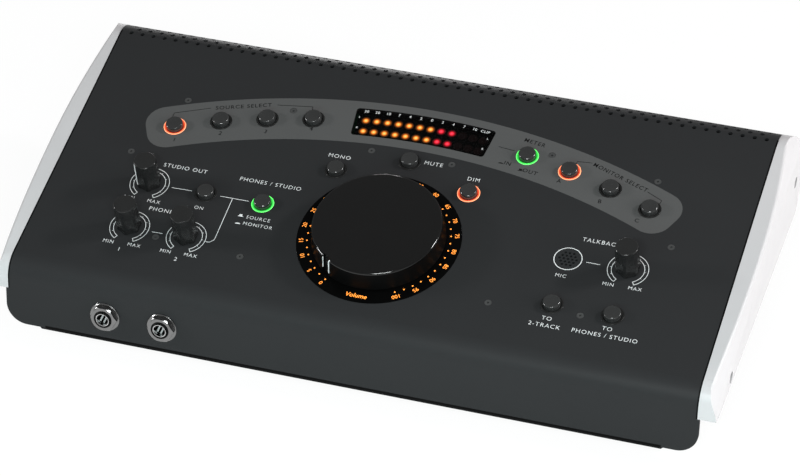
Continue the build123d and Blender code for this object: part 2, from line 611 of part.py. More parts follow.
def cheek():
    """The right cheek: a lofted skin, kept inside the case's side view."""
    skin = PANEL * loft([cheek_section(*station) for station in CHEEK_STATIONS])
    front_end = FRONT_BEND_REACH + CHEEK_LAND
    front = [
        flap_point(-FLAP_STEP_BELOW),
        crossing(FLAP_NORMAL, FLAP_REACH, PANEL_NORMAL, 0),
        (front_end * PANEL_ALONG[0], front_end * PANEL_ALONG[1]),
    ]
    rear_corner = CHEEK_REAR_Y / PANEL_ALONG[0]
    rear_start = rear_corner - CHEEK_REAR_BEND * tan(radians(REAR_TURN / 2)) - CHEEK_LAND
    rear = [
        (rear_start * PANEL_ALONG[0], rear_start * PANEL_ALONG[1]),
        (CHEEK_REAR_Y, rear_corner * PANEL_ALONG[1]),
        (CHEEK_REAR_Y, -CHEEK_REAR_BELOW),
        flap_point(-FLAP_STEP_BELOW),
    ]
    front_line = FilletPolyline(*[(0, y, z) for y, z in front], radius=FRONT_BEND)
    rear_line = FilletPolyline(*[(0, y, z) for y, z in rear], radius=[CHEEK_REAR_BEND, CHEEK_TOE])
    lift = (PANEL_NORMAL[0] * 2 * CHEEK_WIDTH, PANEL_NORMAL[1] * 2 * CHEEK_WIDTH)
    front_top, rear_top = front_line @ 1, rear_line @ 0
    over_front = (0, front_top.Y + lift[0], front_top.Z + lift[1])
    over_rear = (0, rear_top.Y + lift[0], rear_top.Z + lift[1])
    outline = Curve() + [front_line, Line(front_top, over_front), Line(over_front, over_rear),
                         Line(over_rear, rear_top), rear_line]
    side_view = extrude(make_face(outline), 2 * CHEEK_REACH, dir=(1, 0, 0))
    shell = skin & side_view
    sink = Rot(0, 90, 0) * Cylinder(CHEEK_SCREW_HEAD + CASE_SCREW_GAP, CHEEK_REACH)
    shank = Rot(0, 90, 0) * Cylinder(CHEEK_SCREW_SHANK + CASE_SCREW_GAP, CHEEK_REACH)
    sink_start = CHEEK_REACH - CHEEK_SCREW_SINK + CHEEK_REACH / 2
    cuts = [Pos(sink_start, y, z) * sink for y, z in CHEEK_SCREWS]
    cuts += [Pos(CHEEK_REACH, y, z) * shank for y, z in CHEEK_SCREWS]
    return shell - cuts


def cheek_screws():
    screws = []
    for side in (-1, 1):
        for y, z in CHEEK_SCREWS:
            seat = CHEEK_REACH - CHEEK_SCREW_SINK
            head = disc(CHEEK_SCREW_HEAD, seat, seat + CHEEK_SCREW_HEAD_HEIGHT)
            shank = disc(CHEEK_SCREW_SHANK, seat - CHEEK_SCREW_LENGTH, seat)
            key = slab(RegularPolygon(HEX_KEY, 6), seat + CHEEK_SCREW_HEAD_HEIGHT / 2,
                       seat + 2 * CHEEK_SCREW_HEAD_HEIGHT)
            screws.append(Pos(0, y, z) * Rot(0, side * 90, 0) * (head + shank - key))
    return screws


def panel_screws():
    head = disc(PANEL_SCREW_HEAD, -SHEET, -PANEL_SCREW_SINK)
    shank = disc(PANEL_SCREW_SHANK, -PANEL_SCREW_LENGTH, -SHEET)
    key = slab(RegularPolygon(HEX_KEY / 2, 6), -SHEET / 2, SHEET)
    screw = head + shank - key
    return [PANEL * Pos(x, y, 0) * screw for x, y in SCREW_PLACES]


def case_screws():
    head = disc(CASE_SCREW_HEAD, 0, CASE_SCREW_HEAD_HEIGHT)
    key = slab(RegularPolygon(HEX_KEY, 6), CASE_SCREW_HEAD_HEIGHT / 2, 2 * CASE_SCREW_HEAD_HEIGHT)
    screw = head + disc(CASE_SCREW_SHANK, -CASE_SCREW_LENGTH, 0) - key
    rear = [on_rear(x, LIP_END + REAR_LIP / 2, SHEET) * screw for x in REAR_SCREW_X]
    below = Rot(180, 0, 0) * screw
    floor = [Pos(x, PLATE_BACK - REAR_FOOT / 2, TRAY_BOTTOM) * below for x in FLOOR_SCREW_X]
    return rear + floor


def feet():
    foot = Cylinder(FOOT_RADIUS, FOOT_HEIGHT)
    foot = chamfer(foot.edges().group_by(Axis.Z)[0], FOOT_HEIGHT / 5)
    return [Pos(x, y, TRAY_BOTTOM - FOOT_HEIGHT / 2) * foot for x, y in FEET]


# ---- Boards and what stands on them ---------------------------------------------------------------------
def control_board():
    board = span_box((-BOARD_HALF_WIDTH, BOARD_FRONT, BOARD_UNDER),
                     (BOARD_HALF_WIDTH, BOARD_REAR, BOARD_TOP))
    holes = [Pos(x, y, BOARD_TOP) * Cylinder(SPACER_BORE, 4 * BOARD) for x, y in SCREW_PLACES]
    return PANEL * (board - holes)


def board_spacers():
    tube = disc(SPACER_RADIUS, BOARD_TOP, -SHEET) - disc(SPACER_BORE, BOARD_TOP, -SHEET)
    return [PANEL * Pos(x, y, 0) * tube for x, y in SCREW_PLACES]


def connector_board():
    outline = case_section(TRAY_WALL + BOARD_SIDE_GAP, TRAY_FLOOR + BOARD_CLEAR, CONNECTOR_BOARD_TOP)
    return extrude(Pos(0, BOARD_FACE, 0) * outline, BOARD, dir=(0, -1, 0))


def ribbon_cable():
    """A flat cable from the connector board's front to the control board's underside."""
    start = (BOARD_FACE - BOARD, LINE_LOWER)
    turn_y = start[0] - RIBBON_REACH
    up_slope = (turn_y + BOARD_UNDER * sin(radians(PANEL_TILT))) / PANEL_ALONG[0]
    top_z = up_slope * PANEL_ALONG[1] + BOARD_UNDER * PANEL_NORMAL[1]
    centre = FilletPolyline((0, *start), (0, turn_y, start[1]), (0, turn_y, top_z), radius=RIBBON_BEND)
    inner = FilletPolyline((0, start[0], start[1] + RIBBON), (0, turn_y + RIBBON, start[1] + RIBBON),
                           (0, turn_y + RIBBON, top_z + RIBBON * tan(radians(PANEL_TILT))),
                           radius=RIBBON_BEND - RIBBON)
    outline = Curve() + [centre, Line(centre @ 1, inner @ 1), inner, Line(inner @ 0, centre @ 0)]
    return Pos(RIBBON_X, 0, 0) * extrude(make_face(outline), RIBBON_WIDTH / 2, both=True)


def switch_bodies():
    body = block(SWITCH_SIDE, SWITCH_SIDE, BOARD_TOP, BOARD_TOP + SWITCH_HEIGHT)
    well_side = STEM_SIDE + 2 * SWITCH_WELL_GAP
    well_floor = STEM_END - BUTTON_TRAVEL - STEM_END_GAP
    body -= block(well_side, well_side, well_floor, BOARD_TOP + 2 * SWITCH_HEIGHT)
    return [PANEL * Pos(x, y, 0) * body for x, y in BUTTONS.values()]


def light_rings():
    ring = disc(RING_OUTER, -SHEET, RING_PROUD)
    ring += disc(RING_OUTER + RING_FLANGE, -SHEET - RING_FLANGE_HEIGHT, -SHEET)
    ring -= disc(BUTTON_RADIUS + BUTTON_GAP, -4 * SHEET, 2 * SHEET)
    return [PANEL * Pos(x, y, 0) * ring for x, y in BUTTONS.values()]


def button(place):
    cap = disc(BUTTON_RADIUS, -BUTTON_SKIRT, BUTTON_PROUD)
    cap = fillet(cap.edges().group_by(Axis.Z)[-1], BUTTON_EDGE)
    stem = block(STEM_SIDE, STEM_SIDE, STEM_END, -BUTTON_SKIRT)
    return PANEL * Pos(*place, 0) * (cap + stem)


# ---- Volume knob and dial -------------------------------------------------------------------------------
def dial_plate():
    return PANEL * (disc(DIAL_RADIUS, -SHEET, DIAL_PROUD) - disc(DIAL_EYE, -2 * SHEET, SHEET))


def dial_light_guide():
    guide = disc(GUIDE_OUTER, -SHEET - GUIDE_HEIGHT, -SHEET)
    return PANEL * (guide - disc(GUIDE_INNER, -4 * GUIDE_HEIGHT, SHEET))


def volume_knob():
    roof = VOLUME_TOP - VOLUME_ROOF
    knob = disc(VOLUME_RADIUS, VOLUME_BASE, VOLUME_TOP)
    knob = chamfer(knob.edges().group_by(Axis.Z)[-1], VOLUME_CHAMFER)
    knob -= disc(VOLUME_RADIUS - VOLUME_WALL, 0, roof)
    rib_length = VOLUME_RADIUS - VOLUME_WALL / 2
    for index in range(VOLUME_RIBS):
        rib = span_box((0, -VOLUME_RIB / 2, VOLUME_BASE + VOLUME_RIB), (rib_length, VOLUME_RIB / 2, roof))
        knob += Rot(0, 0, index * 360 / VOLUME_RIBS) * rib
    knob += disc(VOLUME_HUB, VOLUME_BASE, roof)
    knob -= disc(SHAFT_RADIUS + SHAFT_SEAT_GAP, 0, VOLUME_SHAFT_TOP + SHAFT_SEAT_GAP)
    groove = span_box((VOLUME_RADIUS - GROOVE_DEPTH, -GROOVE_WIDTH / 2, VOLUME_BASE + GROOVE_FLOOR),
                      (2 * VOLUME_RADIUS, GROOVE_WIDTH / 2, 2 * VOLUME_TOP))
    return PANEL * Rot(0, 0, VOLUME_REST_ANGLE) * (knob - groove)


def flatted_shaft(bottom, top, flat_from):
    """A round shaft with a flat on its upper part, which the knob's bore leaves clear."""
    shaft = disc(SHAFT_RADIUS, bottom, top)
    return shaft - span_box((SHAFT_RADIUS - SHAFT_FLAT, -SHAFT_RADIUS, flat_from),
                            (2 * SHAFT_RADIUS, SHAFT_RADIUS, 2 * top))


def volume_shaft():
    bottom = BOARD_TOP + POT_FLOOR + SHAFT_RUNNING_GAP
    return PANEL * Rot(0, 0, VOLUME_REST_ANGLE) * flatted_shaft(bottom, VOLUME_SHAFT_TOP, VOLUME_BASE)


def volume_pot():
    body = block(VOLUME_POT_SIDE, VOLUME_POT_SIDE, BOARD_TOP, BOARD_TOP + VOLUME_POT_HEIGHT)
    body += disc(VOLUME_COLLAR, BOARD_TOP + VOLUME_POT_HEIGHT, VOLUME_COLLAR_TOP)
    return PANEL * (body - disc(SHAFT_RADIUS + SHAFT_RUNNING_GAP, BOARD_TOP + POT_FLOOR, SHEET))


# ---- Small knobs ----------------------------------------------------------------------------------------
def small_knob(x, y, rest_angle):
    """A slim tapered knob with shallow scallops; its pointer ridge faces the rest angle."""
    height = KNOB_TOP - KNOB_BASE
    body = Pos(0, 0, KNOB_BASE + height / 2) * Cone(KNOB_BASE_RADIUS, KNOB_TOP_RADIUS, height)
    body = fillet(body.edges().group_by(Axis.Z)[-1], KNOB_EDGE)
    reach = (KNOB_BASE_RADIUS + KNOB_TOP_RADIUS) / 2 - SCALLOP_DEPTH + SCALLOP_RADIUS
    scallop = disc(SCALLOP_RADIUS, 0, 2 * KNOB_TOP)
    for index in range(KNOB_SCALLOPS):
        body -= Rot(0, 0, (index + 0.5) * 360 / KNOB_SCALLOPS) * Pos(reach, 0, 0) * scallop
    body -= disc(SHAFT_RADIUS + SHAFT_SEAT_GAP, 0, KNOB_BORE_TOP)
    return PANEL * Pos(x, y, 0) * Rot(0, 0, rest_angle) * body


def small_shaft(x, y, rest_angle):
    bottom = BOARD_TOP + POT_FLOOR + SHAFT_RUNNING_GAP
    top = KNOB_BORE_TOP - SHAFT_SEAT_GAP
    return PANEL * Pos(x, y, 0) * Rot(0, 0, rest_angle) * flatted_shaft(bottom, top, KNOB_TOP / 2)


def small_pots():
    body = block(POT_SIDE, POT_SIDE, BOARD_TOP, BOARD_TOP + POT_HEIGHT)
    body += disc(POT_COLLAR, BOARD_TOP + POT_HEIGHT, POT_COLLAR_TOP)
    body -= disc(SHAFT_RADIUS + SHAFT_RUNNING_GAP, BOARD_TOP + POT_FLOOR, SHEET)
    return [PANEL * Pos(x, y, 0) * body for x, y, _ in KNOBS.values()]


# ---- Meter ----------------------------------------------------------------------------------------------
def led_places():
    """The places of the meter's LEDs, two rows along the arc."""
    angles = [(column - (LED_COLUMNS - 1) / 2) * LED_STEP for column in range(LED_COLUMNS)]
    return [arc_place(angle, radius) for radius in (LED_UPPER_RADIUS, LED_LOWER_RADIUS) for angle in angles]


def meter_window():
    window = slab(meter_sector(0), -SHEET, METER_PROUD)
    window += slab(meter_sector(METER_FLANGE), -SHEET - METER_FLANGE_HEIGHT, -SHEET)
    return PANEL * window


def meter_block():
    top = -SHEET - METER_FLANGE_HEIGHT - BLOCK_GAP
    body = slab(meter_sector(-BLOCK_INSET), BOARD_TOP, top)
    bore = disc(LED_RADIUS + LED_BORE_GAP, 2 * BOARD_TOP, SHEET)
    return PANEL * (body - [Pos(x, y, 0) * bore for x, y in led_places()])


def meter_leds():
    top = -SHEET - METER_FLANGE_HEIGHT - LED_BEHIND
    led = disc(LED_RADIUS, BOARD_TOP, top)
    led = fillet(led.edges().group_by(Axis.Z)[-1], LED_DOME * LED_RADIUS)
    return [PANEL * Pos(x, y, 0) * led for x, y in led_places()]


# ---- Microphone -----------------------------------------------------------------------------------------
def talkback_microphone():
    capsule = disc(MIC_CAPSULE, MIC_CAPSULE_TOP - MIC_CAPSULE_HEIGHT, MIC_CAPSULE_TOP)
    return PANEL * Pos(*MICROPHONE, 0) * chamfer(capsule.edges().group_by(Axis.Z)[-1], MIC_EDGE)


def microphone_boot():
    boot = disc(MIC_BOOT, BOARD_TOP, -SHEET)
    boot -= disc(MIC_CAPSULE, MIC_CAPSULE_TOP - MIC_CAPSULE_HEIGHT, SHEET)
    return PANEL * Pos(*MICROPHONE, 0) * boot


# ---- Headphone sockets ----------------------------------------------------------------------------------
def jack_body(width, height, depth, proud, wall):
    """A socket body behind the sheet, with a round bushing through it; z=0 is the sheet's outer face."""
    body = block(width, height, -wall - depth, -wall)
    body += disc(JACK_BUSHING, -wall, proud)
    return body


def phones_jacks():
    body = jack_body(JACK_BODY_WIDTH, JACK_BODY_HEIGHT, JACK_BODY_DEPTH, JACK_PROUD, SHEET)
    body = chamfer(body.edges().group_by(Axis.Z)[-1], 2 * SLEEVE_RECESS)
    body -= disc(JACK_SLEEVE, -SHEET - JACK_BODY_DEPTH + JACK_BACK_WALL, 2 * JACK_PROUD)
    return [place * body for place in PHONES_JACKS]


def phones_jack_sleeves():
    low = -SHEET - JACK_BODY_DEPTH + JACK_BACK_WALL
    sleeve = disc(JACK_SLEEVE, low, JACK_PROUD - SLEEVE_RECESS) - disc(JACK_BORE, low, JACK_PROUD)
    return [place * sleeve for place in PHONES_JACKS]


def phones_jack_washers():
    washer = disc(WASHER_RADIUS, 0, WASHER) - disc(JACK_BUSHING + JACK_BUSHING_GAP, 0, WASHER)
    washer = chamfer(washer.edges().group_by(Axis.Z)[-1].sort_by(SortBy.LENGTH)[-1], WASHER / 3)
    return [place * washer for place in PHONES_JACKS]


def hex_nut(height):
    """A hexagon nut with its upper corners turned off, standing on z=0."""
    corner = NUT_ACROSS_FLATS / 2 / cos(radians(30))
    blank = disc(corner, 0, height)
    blank = chamfer(blank.edges().group_by(Axis.Z)[-1], height / 3, corner - NUT_ACROSS_FLATS / 2)
    nut = blank & slab(RegularPolygon(corner, 6), 0, height)
    return nut - disc(JACK_BUSHING + NUT_GAP, -height, 2 * height)


def phones_jack_nuts():
    return [place * Pos(0, 0, WASHER) * hex_nut(NUT_HEIGHT) for place in PHONES_JACKS]


# ---- Rear sockets ---------------------------------------------------------------------------------------
def line_jacks():
    body = jack_body(LINE_BODY, LINE_BODY, CONNECTOR_DEPTH, LINE_PROUD, REAR_PLATE)
    body -= disc(JACK_BORE, -REAR_PLATE - CONNECTOR_DEPTH + JACK_BACK_WALL, 2 * LINE_PROUD)
    return [place * body for place in LINE_JACKS]


def line_jack_nuts():
    return [place * hex_nut(LINE_NUT_HEIGHT) for place in LINE_JACKS]


def phono_sockets():
    """One moulded block behind the panel with four metal-shelled sockets."""
    housing = block(PHONO_BLOCK, PHONO_BLOCK, -REAR_PLATE - CONNECTOR_DEPTH, -REAR_PLATE)
    body = on_rear(PHONO_X, REAR_ROW) * housing
    collar = disc(PHONO_RADIUS, -REAR_PLATE, SOCKET_PROUD) + disc(PHONO_SHELL, SOCKET_PROUD, PHONO_PROUD)
    body += [on_rear(x, z) * collar for x, z in PHONO_PLACES]
    well = disc(PHONO_SHELL_BORE, SOCKET_PROUD, 2 * PHONO_PROUD)
    eye = disc(PHONO_SHELL_BORE / 2, -CONNECTOR_DEPTH / 2, 2 * PHONO_PROUD)
    return body - [on_rear(x, z) * (well + eye) for x, z in PHONO_PLACES]


def data_socket():
    shell = block(DATA_WIDTH, DATA_HEIGHT, -REAR_PLATE - CONNECTOR_DEPTH, SOCKET_PROUD)
    shell -= block(DATA_MOUTH_WIDTH, DATA_MOUTH_HEIGHT, SOCKET_PROUD - DATA_MOUTH_DEPTH, 2 * SOCKET_PROUD)
    shell += block(DATA_TONGUE_WIDTH, DATA_TONGUE_HEIGHT, -DATA_MOUTH_DEPTH, 0)
    return on_rear(DATA_X, REAR_ROW) * shell


def power_inlet():
    body = block(INLET_SIDE, INLET_SIDE, -REAR_PLATE - CONNECTOR_DEPTH, SOCKET_PROUD)
    body -= disc(INLET_BORE, SOCKET_PROUD - INLET_WELL, 2 * SOCKET_PROUD)
    body += disc(INLET_PIN, -INLET_WELL, 0)
    return on_rear(INLET_X, REAR_ROW) * body


def frame_width():
    return ROCKER_WIDTH + 2 * (BUTTON_GAP + FRAME_WALL)


def frame_height():
    return 2 * (ROCKER_HALF_HEIGHT + ROCKER_GAP + FRAME_WALL)


def power_switch_frame():
    outer = block(frame_width(), frame_height(), -REAR_PLATE - FRAME_DEPTH, 0)
    outer += block(frame_width() + 2 * FRAME_FLANGE, frame_height() + 2 * FRAME_FLANGE, 0,
                   FRAME_FLANGE_HEIGHT)
    well = block(ROCKER_WIDTH + 2 * BUTTON_GAP, 2 * (ROCKER_HALF_HEIGHT + ROCKER_GAP),
                 -REAR_PLATE - FRAME_DEPTH + FRAME_WALL, 2 * FRAME_FLANGE_HEIGHT)
    pin = Rot(0, 90, 0) * Cylinder(SHAFT_RADIUS / 2, frame_width())
    return on_rear(SWITCH_X, REAR_ROW) * (outer - well + pin)


def power_switch_rocker():
    """A rocker on a cross pin, at rest with one end pressed in."""
    half = ROCKER_HALF_HEIGHT
    rise = half * tan(radians(ROCKER_TILT))
    outline = Polyline((0, -half, ROCKER_PROUD + rise), (0, 0, ROCKER_PROUD), (0, half, ROCKER_PROUD + rise),
                       (0, half / 2, -ROCKER_DEPTH), (0, -half / 2, -ROCKER_DEPTH), close=True)
    rocker = extrude(make_face(outline), ROCKER_WIDTH / 2, both=True)
    rocker -= Rot(0, 90, 0) * Cylinder(SHAFT_RADIUS / 2 + SHAFT_RUNNING_GAP, 2 * ROCKER_WIDTH)
    return on_rear(SWITCH_X, REAR_ROW) * Rot(ROCKER_TILT, 0, 0) * rocker


# ---- Assembly -------------------------------------------------------------------------------------------
def build_nodes():
    """Every node of the controller, by name, in the working frame."""
    right_cheek = cheek()
    nodes = {
        "top_cover": top_cover(),
        "base_tray": base_tray(),
        "rear_panel": rear_panel(),
        "right_cheek": right_cheek,
        "left_cheek": mirror(right_cheek, Plane.YZ),
        "cheek_screws": cheek_screws(),
        "panel_screws": panel_screws(),
        "case_screws": case_screws(),
        "feet": feet(),
        "control_board": control_board(),
        "board_spacers": board_spacers(),
        "connector_board": connector_board(),
        "ribbon_cable": ribbon_cable(),
        "switch_bodies": switch_bodies(),
        "light_rings": light_rings(),
        "dial_plate": dial_plate(),
        "dial_light_guide": dial_light_guide(),
        "volume_pot": volume_pot(),
        "small_pots": small_pots(),
        "meter_window": meter_window(),
        "meter_block": meter_block(),
        "meter_leds": meter_leds(),
        "talkback_microphone": talkback_microphone(),
        "microphone_boot": microphone_boot(),
        "phones_jacks": phones_jacks(),
        "phones_jack_sleeves": phones_jack_sleeves(),
        "phones_jack_washers": phones_jack_washers(),
        "phones_jack_nuts": phones_jack_nuts(),
        "line_jacks": line_jacks(),
        "line_jack_nuts": line_jack_nuts(),
        "phono_sockets": phono_sockets(),
        "data_socket": data_socket(),
        "power_inlet": power_inlet(),
        "power_switch_frame": power_switch_frame(),
        "power_switch_rocker": power_switch_rocker(),
        "volume_knob": volume_knob(),
        "volume_shaft": volume_shaft(),
    }
    for name, place in KNOBS.items():
        nodes[f"{name}_knob"] = small_knob(*place)
        nodes[f"{name}_shaft"] = small_shaft(*place)
    for name, place in BUTTONS.items():
        nodes[name] = button(place)
    return nodes


def as_compound(shape):
    """One compound for a node, whether it is one piece or a group of like pieces."""
    pieces = shape if isinstance(shape, list) else [shape]
    solids = [solid for piece in pieces for solid in piece.solids()]
    return Compound(children=solids) if len(solids) > 1 else solids[0]


def main():
    nodes = {name: as_compound(shape) for name, shape in build_nodes().items()}
    boxes = [node.bounding_box() for node in nodes.values()]
    low_y = min(box.min.Y for box in boxes)
    high_y = max(box.max.Y for box in boxes)
    settle = Pos(0, -(low_y + high_y) / 2, -FLOOR)
    os.makedirs("parts", exist_ok=True)
    for name, node in nodes.items():
        export_step(settle * node, f"parts/{name}.step")
    print(f"moved by {settle.position.Y:.4f} in y and {settle.position.Z:.4f} in z")


main()
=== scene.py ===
"""Looks of a studio monitor controller: finishes, printed legends, lit rings, meter and studio."""

import functools
import json
import logging
import math
from dataclasses import dataclass, field
from enum import Enum

import bpy
from mathutils import Matrix, Vector


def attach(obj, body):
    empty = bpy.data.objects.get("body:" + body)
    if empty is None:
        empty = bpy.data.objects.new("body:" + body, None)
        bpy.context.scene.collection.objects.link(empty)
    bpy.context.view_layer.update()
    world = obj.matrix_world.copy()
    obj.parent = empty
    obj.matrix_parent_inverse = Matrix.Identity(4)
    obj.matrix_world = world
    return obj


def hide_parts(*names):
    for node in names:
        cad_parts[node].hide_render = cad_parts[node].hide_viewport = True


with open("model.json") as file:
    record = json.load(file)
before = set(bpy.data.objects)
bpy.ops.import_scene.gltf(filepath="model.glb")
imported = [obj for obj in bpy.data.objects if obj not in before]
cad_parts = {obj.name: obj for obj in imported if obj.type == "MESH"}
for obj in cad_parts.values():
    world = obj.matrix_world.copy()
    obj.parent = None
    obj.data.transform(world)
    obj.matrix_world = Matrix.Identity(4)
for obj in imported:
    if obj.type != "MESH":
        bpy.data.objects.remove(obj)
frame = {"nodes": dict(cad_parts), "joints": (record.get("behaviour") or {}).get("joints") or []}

MM = 0.001
PRINT = 0.02                # thickness of a layer of print, in millimetres
CAPITAL = 0.73              # height of a capital as a share of the type's size
SPIN_MERGE = 0.0005 * MM    # corners of a spun piece nearer than this are one
SPIN_SLIVER = 0.0001 * MM   # faces of a spun piece smaller than this are dissolved
NODE_MERGE = 0.002 * MM     # corners of a CAD node nearer than this are one
NODE_FLAT = 1.0             # faces of a CAD node that turn less than this many degrees are one
MASK_SPAN = (0.3, 0.7)      # values between which a texture's mask mostly lies
CONSOLE = "console"
LOG = logging.getLogger("controller")


# ---------------------------------------------------------------------------------------------
# Places
# ---------------------------------------------------------------------------------------------
def joint(name: str) -> dict:
    """Finds a joint of the frame.

    Args:
        name: the joint's name.

    Returns:
        The joint's record.
    """
    return next(entry for entry in frame["joints"] if entry["name"] == name)


class PanelSpace:
    """The sloping panel's own axes, in millimetres: across, up the slope and out of the face."""

    def __init__(self) -> None:
        """Reads the volume knob's axis, which stands on the panel."""
        turn = joint("volume_turn")
        out = Vector(turn["axis"]).normalized()
        across = Vector((1.0, 0.0, 0.0))
        self.out = out
        self.origin = Vector(turn["pos_m"])
        self.matrix = Matrix((across, out.cross(across), out)).transposed().to_4x4()
        self.matrix.translation = self.origin

    def world(self, x: float, v: float, n: float = 0.0) -> Vector:
        """Turns a place on the panel, in millimetres, into a place in the frame, in metres.

        Args:
            x: distance to the right of the volume knob's axis.
            v: distance up the slope from it.
            n: distance out of the panel's face.

        Returns:
            The place in the frame.
        """
        return self.matrix @ Vector((x * MM, v * MM, n * MM))

    def local(self, place: Vector) -> Vector:
        """Turns a place in the frame into millimetres on the panel."""
        return (self.matrix.inverted() @ Vector(place)) / MM

    def at(self, x: float, v: float) -> Matrix:
        """Gives the transform that carries a piece drawn flat at the origin to a place on the panel."""
        return Matrix.Translation(self.world(x, v) - self.origin) @ self.matrix


@dataclass(frozen=True)
class ControlArc:
    """The arc that carries the buttons, the meter and the printed band.

    Attributes:
        centre_v: the arc's centre up the slope, in millimetres.
        radius: the radius on which the buttons stand.
        step: angle between neighbouring buttons, in degrees.
        first: angle of the button nearest the meter.
    """

    centre_v: float = -255.0
    radius: float = 330.5
    step: float = 4.24
    first: float = 10.15

    def place(self, angle: float, radius: float | None = None) -> tuple[float, float]:
        """Gives a place on the arc.

        Args:
            angle: degrees from straight up the slope, positive to the right.
            radius: distance from the arc's centre, or None for the buttons' own radius.

        Returns:
            The place on the panel, in millimetres.
        """
        reach = self.radius if radius is None else radius
        turn = math.radians(angle)
        return reach * math.sin(turn), self.centre_v + reach * math.cos(turn)

    def button(self, step: int) -> tuple[float, float]:
        """Gives a button's place: steps 1 to 4 run right from the meter, -1 to -4 run left."""
        angle = self.first + (abs(step) - 1) * self.step
        return self.place(math.copysign(angle, step))


# ---------------------------------------------------------------------------------------------
# Finishes
# ---------------------------------------------------------------------------------------------
Colour = tuple[float, float, float]


def grey(level: float, warmth: float = 0.0) -> Colour:
    """Gives a grey, warmer for positive warmth and cooler for negative."""
    return level * (1 + warmth), level, level * (1 - warmth)


def settle(node: bpy.types.Node, values: dict[str | int, object]) -> bpy.types.Node:
    """Sets constants on a node's input sockets, by name or number, and gives the node back."""
    for socket, value in values.items():
        node.inputs[socket].default_value = value
    return node


def wire(links: bpy.types.NodeLinks,
         *ways: tuple[bpy.types.Node, str | int, bpy.types.Node, str | int]) -> None:
    """Links nodes.

    Args:
        links: the links of the node tree.
        ways: for each link a node and its output, and then a node and its input.
    """
    for source, output, target, entry in ways:
        links.new(source.outputs[output], target.inputs[entry])


class ShadeGroups:
    """Textures that several finishes share, each a node group with a height and a mask."""

    @staticmethod
    def start(name: str, inputs: dict[str, float]) -> bpy.types.NodeTree:
        """Begins a group with its sockets.

        Args:
            name: the group's name.
            inputs: each float input with its default.

        Returns:
            The new group, with one input and one output node.
        """
        tree = bpy.data.node_groups.new(name, "ShaderNodeTree")
        tree.interface.new_socket("Vector", in_out="INPUT", socket_type="NodeSocketVector")
        for socket, value in inputs.items():
            made = tree.interface.new_socket(socket, in_out="INPUT", socket_type="NodeSocketFloat")
            made.default_value = value
        for socket in ("Height", "Mask"):
            tree.interface.new_socket(socket, in_out="OUTPUT", socket_type="NodeSocketFloat")
        tree.nodes.new("NodeGroupInput").name = "in"
        tree.nodes.new("NodeGroupOutput").name = "out"
        return tree

    @staticmethod
    @functools.cache
    def grain() -> bpy.types.NodeTree:
        """Fine texture of powder coat or moulded plastic, with a soft mottle as its mask."""
        tree = ShadeGroups.start("surface grain", {"Scale": 900.0, "Mottle": 30.0})
        start, end = tree.nodes["in"], tree.nodes["out"]
        fine = settle(tree.nodes.new("ShaderNodeTexNoise"), {"Detail": 3.0, "Roughness": 0.6})
        broad = settle(tree.nodes.new("ShaderNodeTexNoise"), {"Detail": 4.0})
        wire(tree.links, (start, "Vector", fine, "Vector"), (start, "Vector", broad, "Vector"),
             (start, "Scale", fine, "Scale"), (start, "Mottle", broad, "Scale"),
             (fine, "Fac", end, "Height"), (broad, "Fac", end, "Mask"))
        return tree

    @staticmethod
    @functools.cache
    def brushing() -> bpy.types.NodeTree:
        """Long fine scratches along Y."""
        tree = ShadeGroups.start("brushing", {"Scale": 800.0, "Length": 30.0})
        start, end = tree.nodes["in"], tree.nodes["out"]
        split, join = tree.nodes.new("ShaderNodeSeparateXYZ"), tree.nodes.new("ShaderNodeCombineXYZ")
        ratio = tree.nodes.new("ShaderNodeMath")
        ratio.operation = "DIVIDE"
        noise = settle(tree.nodes.new("ShaderNodeTexNoise"), {"Detail": 4.0})
        wire(tree.links, (start, "Vector", split, 0), (split, "Y", ratio, 0), (start, "Length", ratio, 1),
             (split, "X", join, "X"), (ratio, 0, join, "Y"), (split, "Z", join, "Z"),
             (join, 0, noise, "Vector"), (start, "Scale", noise, "Scale"),
             (noise, "Fac", end, "Height"), (noise, "Fac", end, "Mask"))
        return tree


